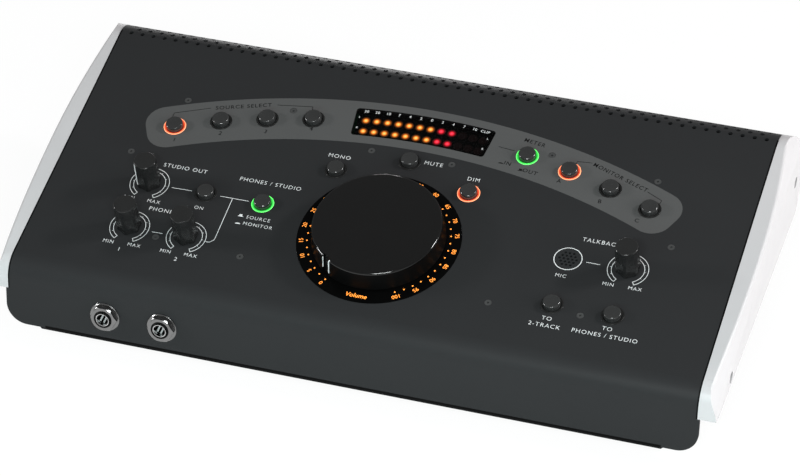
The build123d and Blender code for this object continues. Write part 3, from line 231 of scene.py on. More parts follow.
class Surface:
    """What every finish shares: a named material, built once round a Principled shader."""

    def make(self) -> bpy.types.Material:
        """Builds the finish as a material, or gives the one already built."""
        material = bpy.data.materials.get(self.name)
        if material is None:
            material = bpy.data.materials.new(self.name)
            material.use_nodes = True
            self.dress(material.node_tree, material.node_tree.nodes["Principled BSDF"])
        return material

    @staticmethod
    def texture(tree: bpy.types.NodeTree, group: bpy.types.NodeTree,
                values: dict[str, float]) -> bpy.types.Node:
        """Adds a shared texture that follows the piece's own axes.

        Args:
            tree: the material's nodes.
            group: the shared texture.
            values: its constants.

        Returns:
            The texture's node.
        """
        place, texture = tree.nodes.new("ShaderNodeTexCoord"), tree.nodes.new("ShaderNodeGroup")
        texture.node_tree = group
        wire(tree.links, (place, "Object", texture, "Vector"))
        return settle(texture, values)

    @staticmethod
    def blend(tree: bpy.types.NodeTree, texture: bpy.types.Node, dark: Colour, light: Colour,
              shader: bpy.types.Node, socket: str) -> None:
        """Leads a colour that varies with a texture's mask to a shader.

        Args:
            tree: the material's nodes.
            texture: the texture's node.
            dark: colour where the mask is low.
            light: colour where it is high.
            shader: the shader.
            socket: the shader's input.
        """
        tint = tree.nodes.new("ShaderNodeMix")
        tint.data_type = "RGBA"
        settle(tint, {6: (*dark, 1.0), 7: (*light, 1.0)})
        wire(tree.links, (texture, "Mask", tint, 0), (tint, 2, shader, socket))

    @staticmethod
    def gloss(tree: bpy.types.NodeTree, texture: bpy.types.Node, shader: bpy.types.Node,
              mask: tuple[float, float], rough: tuple[float, float]) -> None:
        """Leads a roughness that varies with a texture's mask to a shader.

        Args:
            tree: the material's nodes.
            texture: the texture's node.
            shader: the shader.
            mask: the mask's lowest and highest values.
            rough: the roughness at these.
        """
        spread = settle(tree.nodes.new("ShaderNodeMapRange"), dict(zip(
            ("From Min", "From Max", "To Min", "To Max"), (*mask, *rough))))
        wire(tree.links, (texture, "Mask", spread, "Value"), (spread, "Result", shader, "Roughness"))


@dataclass(frozen=True)
class Finish(Surface):
    """A surface finish with a fine texture.

    Attributes:
        name: the material's name.
        dark: colour in the texture's low places.
        light: colour in its high places.
        rough: lowest and highest roughness.
        metallic: 1 for bare metal.
        coat: weight of a clear coat.
        coat_rough: that coat's roughness.
        grain: scale of the fine texture, per metre.
        mottle: scale of the broad variation, per metre.
        bump: height of the fine texture, in metres.
        specular: the Principled shader's specular level.
        brushed: whether the texture is drawn out along Y.
    """

    name: str
    dark: Colour
    light: Colour
    rough: tuple[float, float] = (0.4, 0.5)
    metallic: float = 0.0
    coat: float = 0.0
    coat_rough: float = 0.1
    grain: float = 1800.0
    mottle: float = 25.0
    bump: float = 0.00002
    specular: float = 0.5
    brushed: bool = False

    def dress(self, tree: bpy.types.NodeTree, shader: bpy.types.Node) -> None:
        """Gives the shader its mottled colour and gloss and its fine relief."""
        settle(shader, {"Metallic": self.metallic, "Coat Weight": self.coat,
                        "Coat Roughness": self.coat_rough, "Specular IOR Level": self.specular})
        if self.brushed:
            texture = self.texture(tree, ShadeGroups.brushing(), {"Scale": self.grain})
        else:
            texture = self.texture(tree, ShadeGroups.grain(), {"Scale": self.grain, "Mottle": self.mottle})
        self.blend(tree, texture, self.dark, self.light, shader, "Base Color")
        self.gloss(tree, texture, shader, MASK_SPAN, self.rough)
        relief = settle(tree.nodes.new("ShaderNodeBump"), {"Distance": self.bump})
        wire(tree.links, (texture, "Height", relief, "Height"), (relief, "Normal", shader, "Normal"))


@dataclass(frozen=True)
class Glow(Surface):
    """A lit surface whose colour varies a little.

    Attributes:
        name: the material's name.
        core: colour of the light.
        edge: colour of its weaker places.
        strength: emission strength.
        grain: scale of its variation, per metre.
    """

    name: str
    core: Colour
    edge: Colour
    strength: float = 1.0
    grain: float = 400.0

    def dress(self, tree: bpy.types.NodeTree, shader: bpy.types.Node) -> None:
        """Gives the shader its light."""
        settle(shader, {"Base Color": (*self.edge, 1.0), "Roughness": 0.35,
                        "Emission Strength": self.strength})
        texture = self.texture(tree, ShadeGroups.grain(), {"Scale": self.grain, "Mottle": self.grain / 2})
        self.blend(tree, texture, self.edge, self.core, shader, "Emission Color")


@dataclass(frozen=True)
class Spot(Surface):
    """A lamp seen from the front: bright in the middle and fading to its rim.

    The piece's UV map gives the distance from the lamp's middle, as a share of its radius.

    Attributes:
        name: the material's name.
        core: colour in the middle.
        halo: colour round it.
        strength: emission strength.
        reach: shares of the radius where the core ends, and where the halo and its skirt lie.
        skirt: brightness of the skirt, as a share of the halo's.
    """

    name: str
    core: Colour
    halo: Colour
    strength: float = 3.2
    reach: tuple[float, float, float] = (0.12, 0.42, 0.65)
    skirt: float = 0.18

    def dress(self, tree: bpy.types.NodeTree, shader: bpy.types.Node) -> None:
        """Gives the shader a light that fades with the distance in the UV map."""
        settle(shader, {"Base Color": (0.01, 0.01, 0.01, 1.0), "Roughness": 0.5,
                        "Specular IOR Level": 0.1, "Emission Strength": self.strength})
        place, split, fade = (tree.nodes.new(kind) for kind in (
            "ShaderNodeUVMap", "ShaderNodeSeparateXYZ", "ShaderNodeValToRGB"))
        place.uv_map = "reach"
        stops = fade.color_ramp.elements
        core_end, halo, skirt = self.reach
        stops[0].color, stops[0].position = (*self.core, 1.0), core_end
        stops[1].color = (0.0, 0.0, 0.0, 1.0)
        stops.new(halo).color = (*self.halo, 1.0)
        stops.new(skirt).color = (*(value * self.skirt for value in self.halo), 1.0)
        wire(tree.links, (place, "UV", split, 0), (split, "X", fade, "Fac"),
             (fade, "Color", shader, "Emission Color"))


@dataclass(frozen=True)
class Lens(Surface):
    """Smoked plastic with a faint haze that lets some light through.

    Attributes:
        name: the material's name.
        tint: its colour.
        cover: how much it hides, from 0 to 1.
        rough: lowest and highest roughness.
    """

    name: str
    tint: Colour
    cover: float
    rough: tuple[float, float] = (0.38, 0.44)

    def dress(self, tree: bpy.types.NodeTree, shader: bpy.types.Node) -> None:
        """Makes the shader dark, partly clear and hazy."""
        settle(shader, {"Base Color": (*self.tint, 1.0), "Alpha": self.cover, "Specular IOR Level": 0.08})
        self.gloss(tree, self.texture(tree, ShadeGroups.grain(), {}), shader, (0.0, 1.0), self.rough)


class Finishes:
    """Every finish of the controller, by what it is."""

    PANEL = Finish("charcoal powder coat", (0.0172, 0.0174, 0.0182), (0.0194, 0.0196, 0.0204), (0.42, 0.5),
                   grain=2600, bump=0.000008, mottle=14, specular=0.1)
    # Near black: partly the tray's own paint, partly painted shade where its edge shows under the flap.
    TRAY = Finish("near-black tray paint and painted shade", grey(0.004), grey(0.006), (0.42, 0.5), grain=2600, bump=0.000008,
                  mottle=14, specular=0.1)
    CHEEK = Finish("silver cheek paint", (0.405, 0.392, 0.398), (0.433, 0.42, 0.426), (0.3, 0.36),
                   coat=0.2, coat_rough=0.3, grain=3000, bump=0.000004, mottle=40, specular=0.3)
    BAND = Finish("printed grey band", grey(0.0615, 0.005), grey(0.0665, 0.005), (0.45, 0.52), grain=2600,
                  bump=0.000006, mottle=20, specular=0.15)
    # White print, and also the painted highlight along the edge of the volume knob's groove.
    INK = Finish("white screen print and painted glint", grey(0.55), grey(0.62), (0.5, 0.6), grain=4000, bump=0.000004,
                 specular=0.2)
    DARK_INK = Finish("dark screen print", grey(0.005), grey(0.008), (0.5, 0.6), grain=4000, bump=0.000004,
                      specular=0.1)
    KNOB = Finish("black knob", grey(0.0012), grey(0.0018), (0.09, 0.12), grain=3500, bump=0.000001,
                  mottle=60, specular=0.5)
    KNOB_SIDE = Finish("satin knob side", grey(0.0012), grey(0.0018), (0.36, 0.42), grain=3500,
                       bump=0.000001, mottle=60, specular=0.1)
    SMALL_KNOB = Finish("black small knob", grey(0.008), grey(0.011), (0.2, 0.26), grain=4000,
                        bump=0.000003, mottle=120, specular=0.5)
    CAP = Finish("charcoal button", grey(0.0155), grey(0.0205), (0.14, 0.2), grain=4000, bump=0.000003,
                 mottle=160, specular=0.6)
    DIAL = Finish("black dial", grey(0.001), grey(0.0016), (0.24, 0.3), grain=3000, bump=0.000001,
                  specular=0.04)
    # Real black plastic inside, and also painted shade: the strips in the gaps beside the cheeks and along
    # the flap's foot.
    BLACK = Finish("deep black plastic and painted gap shade", grey(0.0015), grey(0.0025), (0.45, 0.55), grain=3000,
                   bump=0.000002, mottle=60, specular=0.05)
    RING_OFF = Finish("unlit ring", grey(0.01, 0.02), grey(0.015, 0.02), (0.3, 0.4), grain=3000,
                      bump=0.000004, specular=0.2)
    MOULDED = Finish("black moulded plastic", grey(0.008), grey(0.014), (0.4, 0.5), grain=3000, bump=0.00001,
                     mottle=90, specular=0.25)
    CHROME = Finish("dark nickel", grey(0.19), grey(0.28), (0.2, 0.3), metallic=1.0, grain=2600,
                    bump=0.000004, mottle=300)
    SLEEVE = Finish("turned sleeve", grey(0.55), grey(0.7), (0.18, 0.26), metallic=1.0, grain=2600,
                    bump=0.000006, brushed=True)
    CONTACT = Finish("bright contact", grey(0.3), grey(0.38), (0.35, 0.45), metallic=0.25, grain=2600,
                     bump=0.000004, mottle=200)
    STEEL = Finish("plain steel", grey(0.34), grey(0.46), (0.3, 0.42), metallic=1.0, grain=1500,
                   bump=0.00001, brushed=True)
    BLACK_SCREW = Finish("blackened screw", grey(0.02), grey(0.035), (0.32, 0.42), metallic=0.6, grain=3000,
                         bump=0.00001, mottle=300, specular=0.3)
    PANEL_SCREW = Finish("grey screw", grey(0.04), grey(0.055), (0.28, 0.36), metallic=0.2, grain=3000,
                         bump=0.000006, mottle=300, specular=0.5)
    RUBBER = Finish("rubber", grey(0.012), grey(0.02), (0.7, 0.8), grain=2200, bump=0.00003, mottle=60)
    BOARD = Finish("green solder mask", (0.01, 0.07, 0.03), (0.015, 0.1, 0.045), (0.25, 0.35), grain=900,
                   bump=0.00002, mottle=60)
    BRASS = Finish("brass", (0.55, 0.4, 0.16), (0.68, 0.5, 0.22), (0.25, 0.35), metallic=1.0, grain=1500,
                   bump=0.00001)
    RIBBON = Finish("ribbon insulation", grey(0.3), grey(0.4), (0.5, 0.6), grain=1200, bump=0.00004,
                    brushed=True)
    GUIDE = Finish("frosted guide", grey(0.55), grey(0.65), (0.4, 0.5), grain=1200, bump=0.00001)
    ORANGE = Glow("lit orange ring", (0.62, 0.07, 0.025), (0.5, 0.04, 0.012))
    ORANGE_RIM = Glow("lit orange rim", (1.0, 0.42, 0.22), (0.92, 0.26, 0.12))
    GREEN = Glow("lit green ring", (0.03, 0.5, 0.06), (0.012, 0.36, 0.03))
    GREEN_RIM = Glow("lit green rim", (0.2, 0.88, 0.22), (0.08, 0.7, 0.1))
    AMBER = Spot("lit amber", (1.0, 0.6, 0.16), (0.9, 0.22, 0.02))
    SCARLET = Spot("lit scarlet", (1.0, 0.06, 0.1), (0.7, 0.012, 0.03))
    LEGEND = Glow("lit dial print", (1.0, 0.42, 0.08), (0.95, 0.26, 0.03))
    SMOKE = Lens("smoked window", grey(0.001), 0.35)
    LED_OFF = Finish("unlit diode", (0.012, 0.006, 0.006), (0.018, 0.009, 0.009), (0.3, 0.4), grain=2000,
                     bump=0.00001, specular=0.1)


# ---------------------------------------------------------------------------------------------
# Modelling steps that the pieces share
# ---------------------------------------------------------------------------------------------
class Bench:
    """The steps of modelling a piece, in the order a maker takes them."""

    @staticmethod
    def clear() -> None:
        """Deselects everything."""
        bpy.ops.object.select_all(action="DESELECT")

    @staticmethod
    def only(piece: bpy.types.Object) -> None:
        """Makes one piece the selected and active one."""
        Bench.clear()
        piece.select_set(True)
        bpy.context.view_layer.objects.active = piece

    @staticmethod
    def place(piece: bpy.types.Object, matrix: Matrix) -> bpy.types.Object:
        """Carries a piece to its place and leaves that place in its mesh.

        Args:
            piece: a mesh piece.
            matrix: the transform that carries it there.

        Returns:
            The piece, at the origin, unturned and unscaled.
        """
        Bench.only(piece)
        piece.matrix_world = matrix @ piece.matrix_world
        bpy.ops.object.transform_apply(location=True, rotation=True, scale=True)
        return piece

    @staticmethod
    def cylinder(radius: float, bottom: float, top: float, x: float = 0.0, v: float = 0.0,
                 sides: int = 64) -> bpy.types.Object:
        """Adds an upright cylinder, in millimetres.

        Args:
            radius: its radius.
            bottom: height of its lower face.
            top: height of its upper face.
            x: its axis's place across.
            v: its axis's place up the slope.
            sides: how many sides it has.

        Returns:
            The new piece.
        """
        Bench.clear()
        bpy.ops.mesh.primitive_cylinder_add(
            vertices=sides, radius=radius * MM, depth=(top - bottom) * MM,
            location=(x * MM, v * MM, (top + bottom) / 2 * MM))
        return bpy.context.object

    @staticmethod
    def loop(corners: list[Vector]) -> bpy.types.Object:
        """Adds a closed loop of edges through corners given in metres, and opens it for editing."""
        Bench.clear()
        bpy.ops.mesh.primitive_circle_add(vertices=len(corners), radius=MM)
        piece = bpy.context.object
        for vertex, corner in zip(piece.data.vertices, corners):
            vertex.co = corner
        bpy.ops.object.mode_set(mode="EDIT")
        bpy.ops.mesh.select_all(action="SELECT")
        return piece

    @staticmethod
    def close() -> None:
        """Turns the edited piece's faces outwards and ends the edit."""
        bpy.ops.mesh.select_all(action="SELECT")
        bpy.ops.mesh.normals_make_consistent(inside=False)
        bpy.ops.object.mode_set(mode="OBJECT")

    @staticmethod
    def spin(profile: list[tuple[float, float]], x: float = 0.0, v: float = 0.0, steps: int = 64,
             start: float = 0.0, sweep: float = 360.0) -> bpy.types.Object:
        """Spins a closed profile round an upright axis.

        Args:
            profile: radius and height of each corner, in millimetres.
            x: the axis's place across.
            v: the axis's place up the slope.
            steps: how many steps the spin takes.
            start: angle where it starts, in degrees from across.
            sweep: how far it turns, in degrees.

        Returns:
            The new piece.
        """
        turn = Matrix.Rotation(math.radians(start), 3, "Z")
        axis = Vector((x * MM, v * MM, 0.0))
        piece = Bench.loop([turn @ Vector((reach * MM, 0.0, height * MM)) + axis
                            for reach, height in profile])
        if sweep < 360.0:
            bpy.ops.mesh.edge_face_add()
            bpy.ops.mesh.select_all(action="SELECT")
        bpy.ops.mesh.spin(steps=steps, angle=math.radians(sweep), center=axis, axis=(0.0, 0.0, -1.0))
        bpy.ops.mesh.select_all(action="SELECT")
        bpy.ops.mesh.remove_doubles(threshold=SPIN_MERGE)
        bpy.ops.mesh.dissolve_degenerate(threshold=SPIN_SLIVER)
        bpy.ops.mesh.select_all(action="SELECT")
        bpy.ops.mesh.delete_loose(use_verts=True, use_edges=True, use_faces=False)
        Bench.close()
        return piece

    @staticmethod
    def plate(outline: list[tuple[float, float]], bottom: float, top: float) -> bpy.types.Object:
        """Fills a flat outline and gives it a thickness.

        Args:
            outline: the outline's corners in order, in millimetres.
            bottom: height of the lower face.
            top: height of the upper face.

        Returns:
            The new piece.
        """
        piece = Bench.loop([Vector((x, v, bottom)) * MM for x, v in outline])
        bpy.ops.mesh.edge_face_add()
        bpy.ops.mesh.extrude_region_move(TRANSFORM_OT_translate={"value": (0.0, 0.0, (top - bottom) * MM)})
        Bench.close()
        return piece

    @staticmethod
    def copy(piece: bpy.types.Object, x: float, v: float) -> bpy.types.Object:
        """Copies a piece, with a mesh of its own, to another place.

        Args:
            piece: what is copied.
            x: how far across the copy stands, in millimetres.
            v: how far up the slope it stands.

        Returns:
            The copy.
        """
        twin = bpy.data.objects.new(piece.name, piece.data.copy())
        bpy.context.scene.collection.objects.link(twin)
        return Bench.place(twin, Matrix.Translation((x * MM, v * MM, 0.0)))

    @staticmethod
    def box(middle: tuple[float, float, float], size: tuple[float, float, float],
            turn: tuple[float, float, float]) -> bpy.types.Object:
        """Adds a box.

        Args:
            middle: its middle's place, in millimetres.
            size: its length, width and height.
            turn: how far it turns about each axis, in radians.

        Returns:
            The new piece.
        """
        Bench.clear()
        bpy.ops.mesh.primitive_cube_add(size=1.0, location=[value * MM for value in middle], rotation=turn,
                                        scale=[value * MM for value in size])
        bpy.ops.object.transform_apply(location=True, rotation=True, scale=True)
        return bpy.context.object

    @staticmethod
    def bar(start: tuple[float, float], end: tuple[float, float], width: float, bottom: float,
            top: float) -> bpy.types.Object:
        """Adds a thin straight bar between two places on the panel, in millimetres.

        Args:
            start: one end's place.
            end: the other end's place.
            width: how wide the bar is.
            bottom: height of its lower face.
            top: height of its upper face.

        Returns:
            The new piece.
        """
        run = Vector((end[0] - start[0], end[1] - start[1]))
        middle = (start[0] + end[0]) / 2, (start[1] + end[1]) / 2, (bottom + top) / 2
        return Bench.box(middle, (run.length, width, top - bottom), (0.0, 0.0, math.atan2(run.y, run.x)))

    @staticmethod
    def word(text: str, height: float, x: float, v: float, level: float, turn: float = 0.0,
             slant: float = 0.0, weight: float = 0.0, spacing: float = 1.0) -> bpy.types.Object:
        """Sets a word and makes it a mesh.

        Args:
            text: the word.
            height: height of a capital, in millimetres.
            x: its middle's place across.
            v: its middle's place up the slope.
            level: height of the middle of its thickness.
            turn: how far it is turned, in degrees.
            slant: how far its strokes lean.
            weight: how much its strokes are fattened, as a share of its height.
            spacing: distance between its letters against the plain one.

        Returns:
            The new piece.
        """
        Bench.clear()
        bpy.ops.object.text_add(location=(x * MM, v * MM, level * MM),
                                rotation=(0.0, 0.0, math.radians(turn)))
        letters = bpy.context.object.data
        letters.body = text
        letters.size = height / CAPITAL * MM
        letters.shear = slant
        letters.offset = weight * height * MM
        letters.align_x = letters.align_y = "CENTER"
        letters.resolution_u = 4
        letters.extrude = PRINT / 2 * MM
        letters.space_character = spacing
        bpy.ops.object.convert(target="MESH")
        return bpy.context.object

    @staticmethod
    def join(pieces: list[bpy.types.Object], name: str) -> bpy.types.Object:
        """Joins pieces into one object.

        Args:
            pieces: what is joined.
            name: the new object's name.

        Returns:
            The joined piece.
        """
        Bench.clear()
        for piece in pieces:
            piece.select_set(True)
        bpy.context.view_layer.objects.active = pieces[0]
        if len(pieces) > 1:
            bpy.ops.object.join()
        joined = bpy.context.object
        Bench.only(joined)
        bpy.ops.object.transform_apply(location=True, rotation=True, scale=True)
        joined.name = name
        joined.data.name = name
        return joined

    @staticmethod
    def cut(piece: bpy.types.Object, cutters: list[bpy.types.Object]) -> bpy.types.Object:
        """Cuts tools out of a piece.

        Args:
            piece: what is cut.
            cutters: the tools, which are used up.

        Returns:
            The cut piece.
        """
        tool = Bench.join(cutters, "cutter")
        Bench.only(piece)
        step = piece.modifiers.new("cut", "BOOLEAN")
        step.operation = "DIFFERENCE"
        step.solver = "EXACT"
        step.use_self = True
        step.object = tool
        bpy.ops.object.modifier_apply(modifier=step.name)
        bpy.data.objects.remove(tool)
        return piece

    @staticmethod
    def round_edges(piece: bpy.types.Object, width: float, segments: int, angle: float) -> bpy.types.Object:
        """Rounds a piece's sharp edges.

        Args:
            piece: what is rounded.
            width: width of the rounding, in millimetres.
            segments: how many steps it has.
            angle: edges sharper than this many degrees are rounded.

        Returns:
            The rounded piece.
        """
        Bench.only(piece)
        step = piece.modifiers.new("round", "BEVEL")
        step.width = width * MM
        step.segments = segments
        step.limit_method = "ANGLE"
        step.angle_limit = math.radians(angle)
        bpy.ops.object.modifier_apply(modifier=step.name)
        return Bench.smooth(piece, angle)

    @staticmethod
    def smooth(piece: bpy.types.Object, angle: float) -> bpy.types.Object:
        """Shades a piece smooth, apart from edges sharper than an angle in degrees."""
        Bench.only(piece)
        bpy.ops.object.shade_smooth_by_angle(angle=math.radians(angle))
        return piece

    @staticmethod
    def refined(node: str, name: str, width: float, segments: int, angle: float) -> bpy.types.Object:
        """Copies a CAD node, merges its flat triangles and rounds its edges.

        Args:
            node: the CAD node.
            name: the new piece's name.
            width: width of the rounding, in millimetres.
            segments: how many steps the rounding has.
            angle: edges sharper than this many degrees are rounded.

        Returns:
            The new piece, which doesn't yet replace the node.
        """
        source = frame["nodes"][node]
        piece = bpy.data.objects.new(name, source.data.copy())
        piece.data.name = name
        piece.data.materials.clear()
        bpy.context.scene.collection.objects.link(piece)
        Bench.only(piece)
        bpy.ops.object.mode_set(mode="EDIT")
        bpy.ops.mesh.select_all(action="SELECT")
        bpy.ops.mesh.remove_doubles(threshold=NODE_MERGE)
        bpy.ops.mesh.dissolve_limited(angle_limit=math.radians(NODE_FLAT))
        bpy.ops.object.mode_set(mode="OBJECT")
        bpy.ops.mesh.customdata_custom_splitnormals_clear()
        return Bench.round_edges(piece, width, segments, angle)

    @staticmethod
    def done(piece: bpy.types.Object, finish: Surface, body: str, slot: str,
             *replaced: str) -> None:
        """Gives a piece its finish, its body and its slot.

        Args:
            piece: the piece.
            finish: its finish.
            body: the CAD body that it rides on.
            slot: the record's material slot; not used.
            replaced: CAD nodes that it stands for.
        """
        piece.data.materials.clear()
        piece.data.materials.append(finish.make())
        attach(piece, body)
        if replaced:
            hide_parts(*replaced)
        LOG.info("piece %s rides on %s", piece.name, body)


def paint(node: str, finish: Surface) -> None:
    """Gives a CAD node a finish.

    Args:
        node: the CAD node's name.
        finish: its finish.
    """
    target = frame["nodes"][node]
    target.data.materials.clear()
    target.data.materials.append(finish.make())
    LOG.info("node %s is %s", node, finish.name)


def rounding(reach: float, height: float, radius: float, steps: int,
             sweep: float = 90.0) -> list[tuple[float, float]]:
    """Gives a round stretch of a profile, from its outermost place upwards.

    Args:
        reach: the stretch's centre, from the axis, in millimetres.
        height: the centre's height.
        radius: the stretch's radius.
        steps: how many steps it takes.
        sweep: how far it turns, in degrees.

    Returns:
        The radius and height of each place.
    """
    turns = [math.radians(sweep * step / steps) for step in range(steps + 1)]
    return [(reach + radius * math.cos(turn), height + radius * math.sin(turn)) for turn in turns]


def on_panel(piece: bpy.types.Object, finish: Surface, slot: str, *replaced: str) -> None:
    """Carries a piece drawn flat onto the panel and finishes it as part of the console.

    Args:
        piece: the piece.
        finish: its finish.
        slot: the record's material slot.
        replaced: CAD nodes that it stands for.
    """
    Bench.done(Bench.place(piece, PANEL.matrix), finish, CONSOLE, slot, *replaced)


# ---------------------------------------------------------------------------------------------
# Sub-assemblies
# ---------------------------------------------------------------------------------------------
PANEL = PanelSpace()
ARC = ControlArc()
FLAP_LEAN = 4.0                 # how far the flap leans, in degrees
FLAP_FOOT = (-58.427, -51.4)    # its foot behind the knob's centre and over it, in millimetres
LEVEL_KNOBS = {                 # each level knob with its pointer's angle at rest, in degrees from across
    "studio": 223.0, "phones_1": 90.0, "phones_2": 90.0, "talkback": 90.0}
CORNER_STEPS = 10               # steps in a band's rounded corner
ARC_STEPS = 64                  # steps along a band


def flap_place(x: float, y: float, z: float) -> Matrix:
    """Gives the transform that carries a piece drawn flat at the origin to a place on the front flap.

    Args:
        x: the place's distance to the right of the knob's axis, in millimetres.
        y: its distance behind the knob's centre.
        z: its height over that centre.

    Returns:
        The transform.
    """
    place = Matrix.Translation(PANEL.origin + Vector((x, y, z)) * MM)
    return place @ Matrix.Rotation(math.radians(90 - FLAP_LEAN), 4, "X")


@dataclass
class Case:
    """The cover, tray, rear panel, cheeks and feet, and black strips of painted shade in the joints beside
    the cheeks and along the flap's foot.

    Attributes:
        finishes: each CAD node's finish.
        half_width: the cover's half width, in millimetres.
        seam: width of a strip of painted shade in a joint.
        seam_height: how far the strip lies over the cover.
        seam_depth: how far it reaches into it.
        front_bend: the front bend's place up the slope, outer radius and turn in degrees.
        rear_bend: the rear bend's place and radius, and how far the strip follows its turn.
        bend_steps: steps of the strip in each bend.
        flap_run: how far the strip runs down the flap.
        foot_line: left and right end and height of the black strip of painted shade along the flap's foot.
    """

    finishes: dict[str, Finish] = field(default_factory=lambda: {
        "top_cover": Finishes.PANEL,
        "base_tray": Finishes.TRAY,
        "rear_panel": Finishes.PANEL,
        "left_cheek": Finishes.CHEEK,
        "right_cheek": Finishes.CHEEK,
        "feet": Finishes.RUBBER,
        "cheek_screws": Finishes.BLACK_SCREW,
        "case_screws": Finishes.BLACK_SCREW,
        "panel_screws": Finishes.PANEL_SCREW,
    })

    half_width: float = 181.0
    seam: float = 0.8
    seam_height: float = 0.03
    seam_depth: float = 0.2
    front_bend: tuple[float, float, float] = (-50.0, 12.5, 69.0)
    rear_bend: tuple[float, float, float] = (107.0, 14.7, 10.0)
    bend_steps: int = 12
    flap_run: float = 5.8
    foot_line: tuple[float, float, float] = (-161.0, 164.0, 1.2)

    def seam_line(self, lift: float) -> list[tuple[float, float]]:
        """Follows the cover's side edge from the flap over the panel to the rear bend.

        Args:
            lift: distance out of the cover's face, in millimetres.

        Returns:
            Places up the slope and out of the panel.
        """
        reach, radius, sweep = self.front_bend
        turn = math.radians(sweep)
        line = [(reach - (radius + lift) * math.sin(turn) - self.flap_run * math.cos(turn),
                 -radius + (radius + lift) * math.cos(turn) - self.flap_run * math.sin(turn))]
        for (reach, radius, sweep), side in ((self.front_bend, -1), (self.rear_bend, 1)):
            for step in range(self.bend_steps + 1):
                share = step / self.bend_steps
                turn = math.radians(sweep * (share if side > 0 else 1 - share))
                line.append((reach + side * (radius + lift) * math.sin(turn),
                             -radius + (radius + lift) * math.cos(turn)))
        return line

    def build(self) -> None:
        """Dresses the case and lays black strips of painted shade in the joint between the cover and each
        cheek and along the flap's foot.
        """
        for node, finish in self.finishes.items():
            paint(node, finish)
        outline = self.seam_line(self.seam_height) + self.seam_line(-self.seam_depth)[::-1]
        low, high = self.half_width - self.seam, self.half_width
        # Black strips of painted shade in the gaps between the cover and the cheeks.
        joint_shade = Bench.join([Bench.plate(outline, low, high), Bench.plate(outline, -high, -low)],
                           "cheek_joint_shade_strips")
        sideways = Matrix(((0, 0, 1, 0), (1, 0, 0, 0), (0, 1, 0, 0), (0, 0, 0, 1)))
        on_panel(Bench.place(joint_shade, sideways), Finishes.BLACK, "panel_paint")
        # A black strip of painted shade on the flap's foot, where the gap under the flap lies.
        left, right, height = self.foot_line
        edge = Bench.bar((left, height / 2), (right, height / 2), height, -self.seam_depth, self.seam_height)
        edge.name = "flap_foot_shade_strip"
        Bench.done(Bench.place(edge, flap_place(0.0, *FLAP_FOOT)), Finishes.BLACK, CONSOLE, "panel_paint")


@dataclass
class Inside:
    """The boards and what stands on them, which show only through the vents and holes.

    Attributes:
        finishes: each CAD node's finish.
    """

    finishes: dict[str, Finish] = field(default_factory=lambda: {
        "control_board": Finishes.BOARD,
        "connector_board": Finishes.BOARD,
        "board_spacers": Finishes.BRASS,
        "ribbon_cable": Finishes.RIBBON,
        "switch_bodies": Finishes.MOULDED,
        "meter_block": Finishes.BLACK,
        "dial_light_guide": Finishes.GUIDE,
        "volume_pot": Finishes.STEEL,
        "small_pots": Finishes.STEEL,
        "talkback_microphone": Finishes.STEEL,
        "microphone_boot": Finishes.RUBBER,
        "volume_shaft": Finishes.STEEL,
        "studio_shaft": Finishes.STEEL,
        "phones_1_shaft": Finishes.STEEL,
        "phones_2_shaft": Finishes.STEEL,
        "talkback_shaft": Finishes.STEEL,
    })

    def build(self) -> None:
        """Dresses the inside."""
        for node, finish in self.finishes.items():
            paint(node, finish)


@dataclass
class Band:
    """The grey band printed under the arc of buttons.

    Attributes:
        inner: its inner radius, in millimetres.
        outer: its outer radius.
        half_angle: where it ends, in degrees.
        corner: rounding of its corners.
        floor: height of its underside.
        top: height of its face.
        ring_hole: radius of the hole for a button's ring.
        screw: angle and radius of the screws that stand in it.
        screw_hole: radius of the hole for a screw.
        window: inner and outer radius, half angle and corner of the meter window's hole.
    """

    inner: float = 316.3
    outer: float = 345.0
    half_angle: float = 25.5
    corner: float = 11.0
    floor: float = 0.005
    top: float = 0.03
    ring_hole: float = 5.95
    screw: tuple[float, float] = (12.1, 336.2)
    screw_hole: float = 1.95
    window: tuple[float, float, float, float] = (321.45, 340.25, 6.43, 1.75)

    @staticmethod
    def outline(low: float, high: float, half_angle: float, corner: float) -> list[tuple[float, float]]:
        """Gives a curved outline: two arcs joined by ends with round corners.

        Args:
            low: inner radius, in millimetres.
            high: outer radius.
            half_angle: where it ends, in degrees.
            corner: rounding of its corners.

        Returns:
            The outline's corners in order.
        """
        right = []
        for centre, first in ((high - corner, 0.0), (low + corner, 90.0)):
            angle = half_angle - math.degrees(math.asin(corner / centre))
            x, v = ARC.place(angle, centre)
            for step in range(CORNER_STEPS + 1):
                turn = math.radians(angle + first + 90.0 * step / CORNER_STEPS)
                right.append((x + corner * math.sin(turn), v + corner * math.cos(turn)))
        reach = half_angle - math.degrees(math.asin(corner / (high - corner)))
        steps = [reach * (2 * step / ARC_STEPS - 1) for step in range(1, ARC_STEPS)]
        outer = [ARC.place(angle, high) for angle in steps]
        inner = [ARC.place(angle, low) for angle in reversed(steps)]
        left = [(-x, v) for x, v in reversed(right)]
        return outer + right + inner + left

    def build(self) -> None:
        """Cuts the band out flat and opens it for what stands in it."""
        band = Bench.plate(self.outline(self.inner, self.outer, self.half_angle, self.corner),
                           self.floor, self.top)
        x, v = ARC.place(*self.screw)
        tools = [Bench.cylinder(self.ring_hole, -1, 1, *ARC.button(step)) for step in range(-4, 5) if step]
        tools += [Bench.cylinder(self.screw_hole, -1, 1, side * x, v, sides=32) for side in (-1, 1)]
        Bench.cut(band, tools + [Bench.plate(self.outline(*self.window), -1, 1)])
        band.name = "printed_band"
        on_panel(band, Finishes.BAND, "panel_paint")


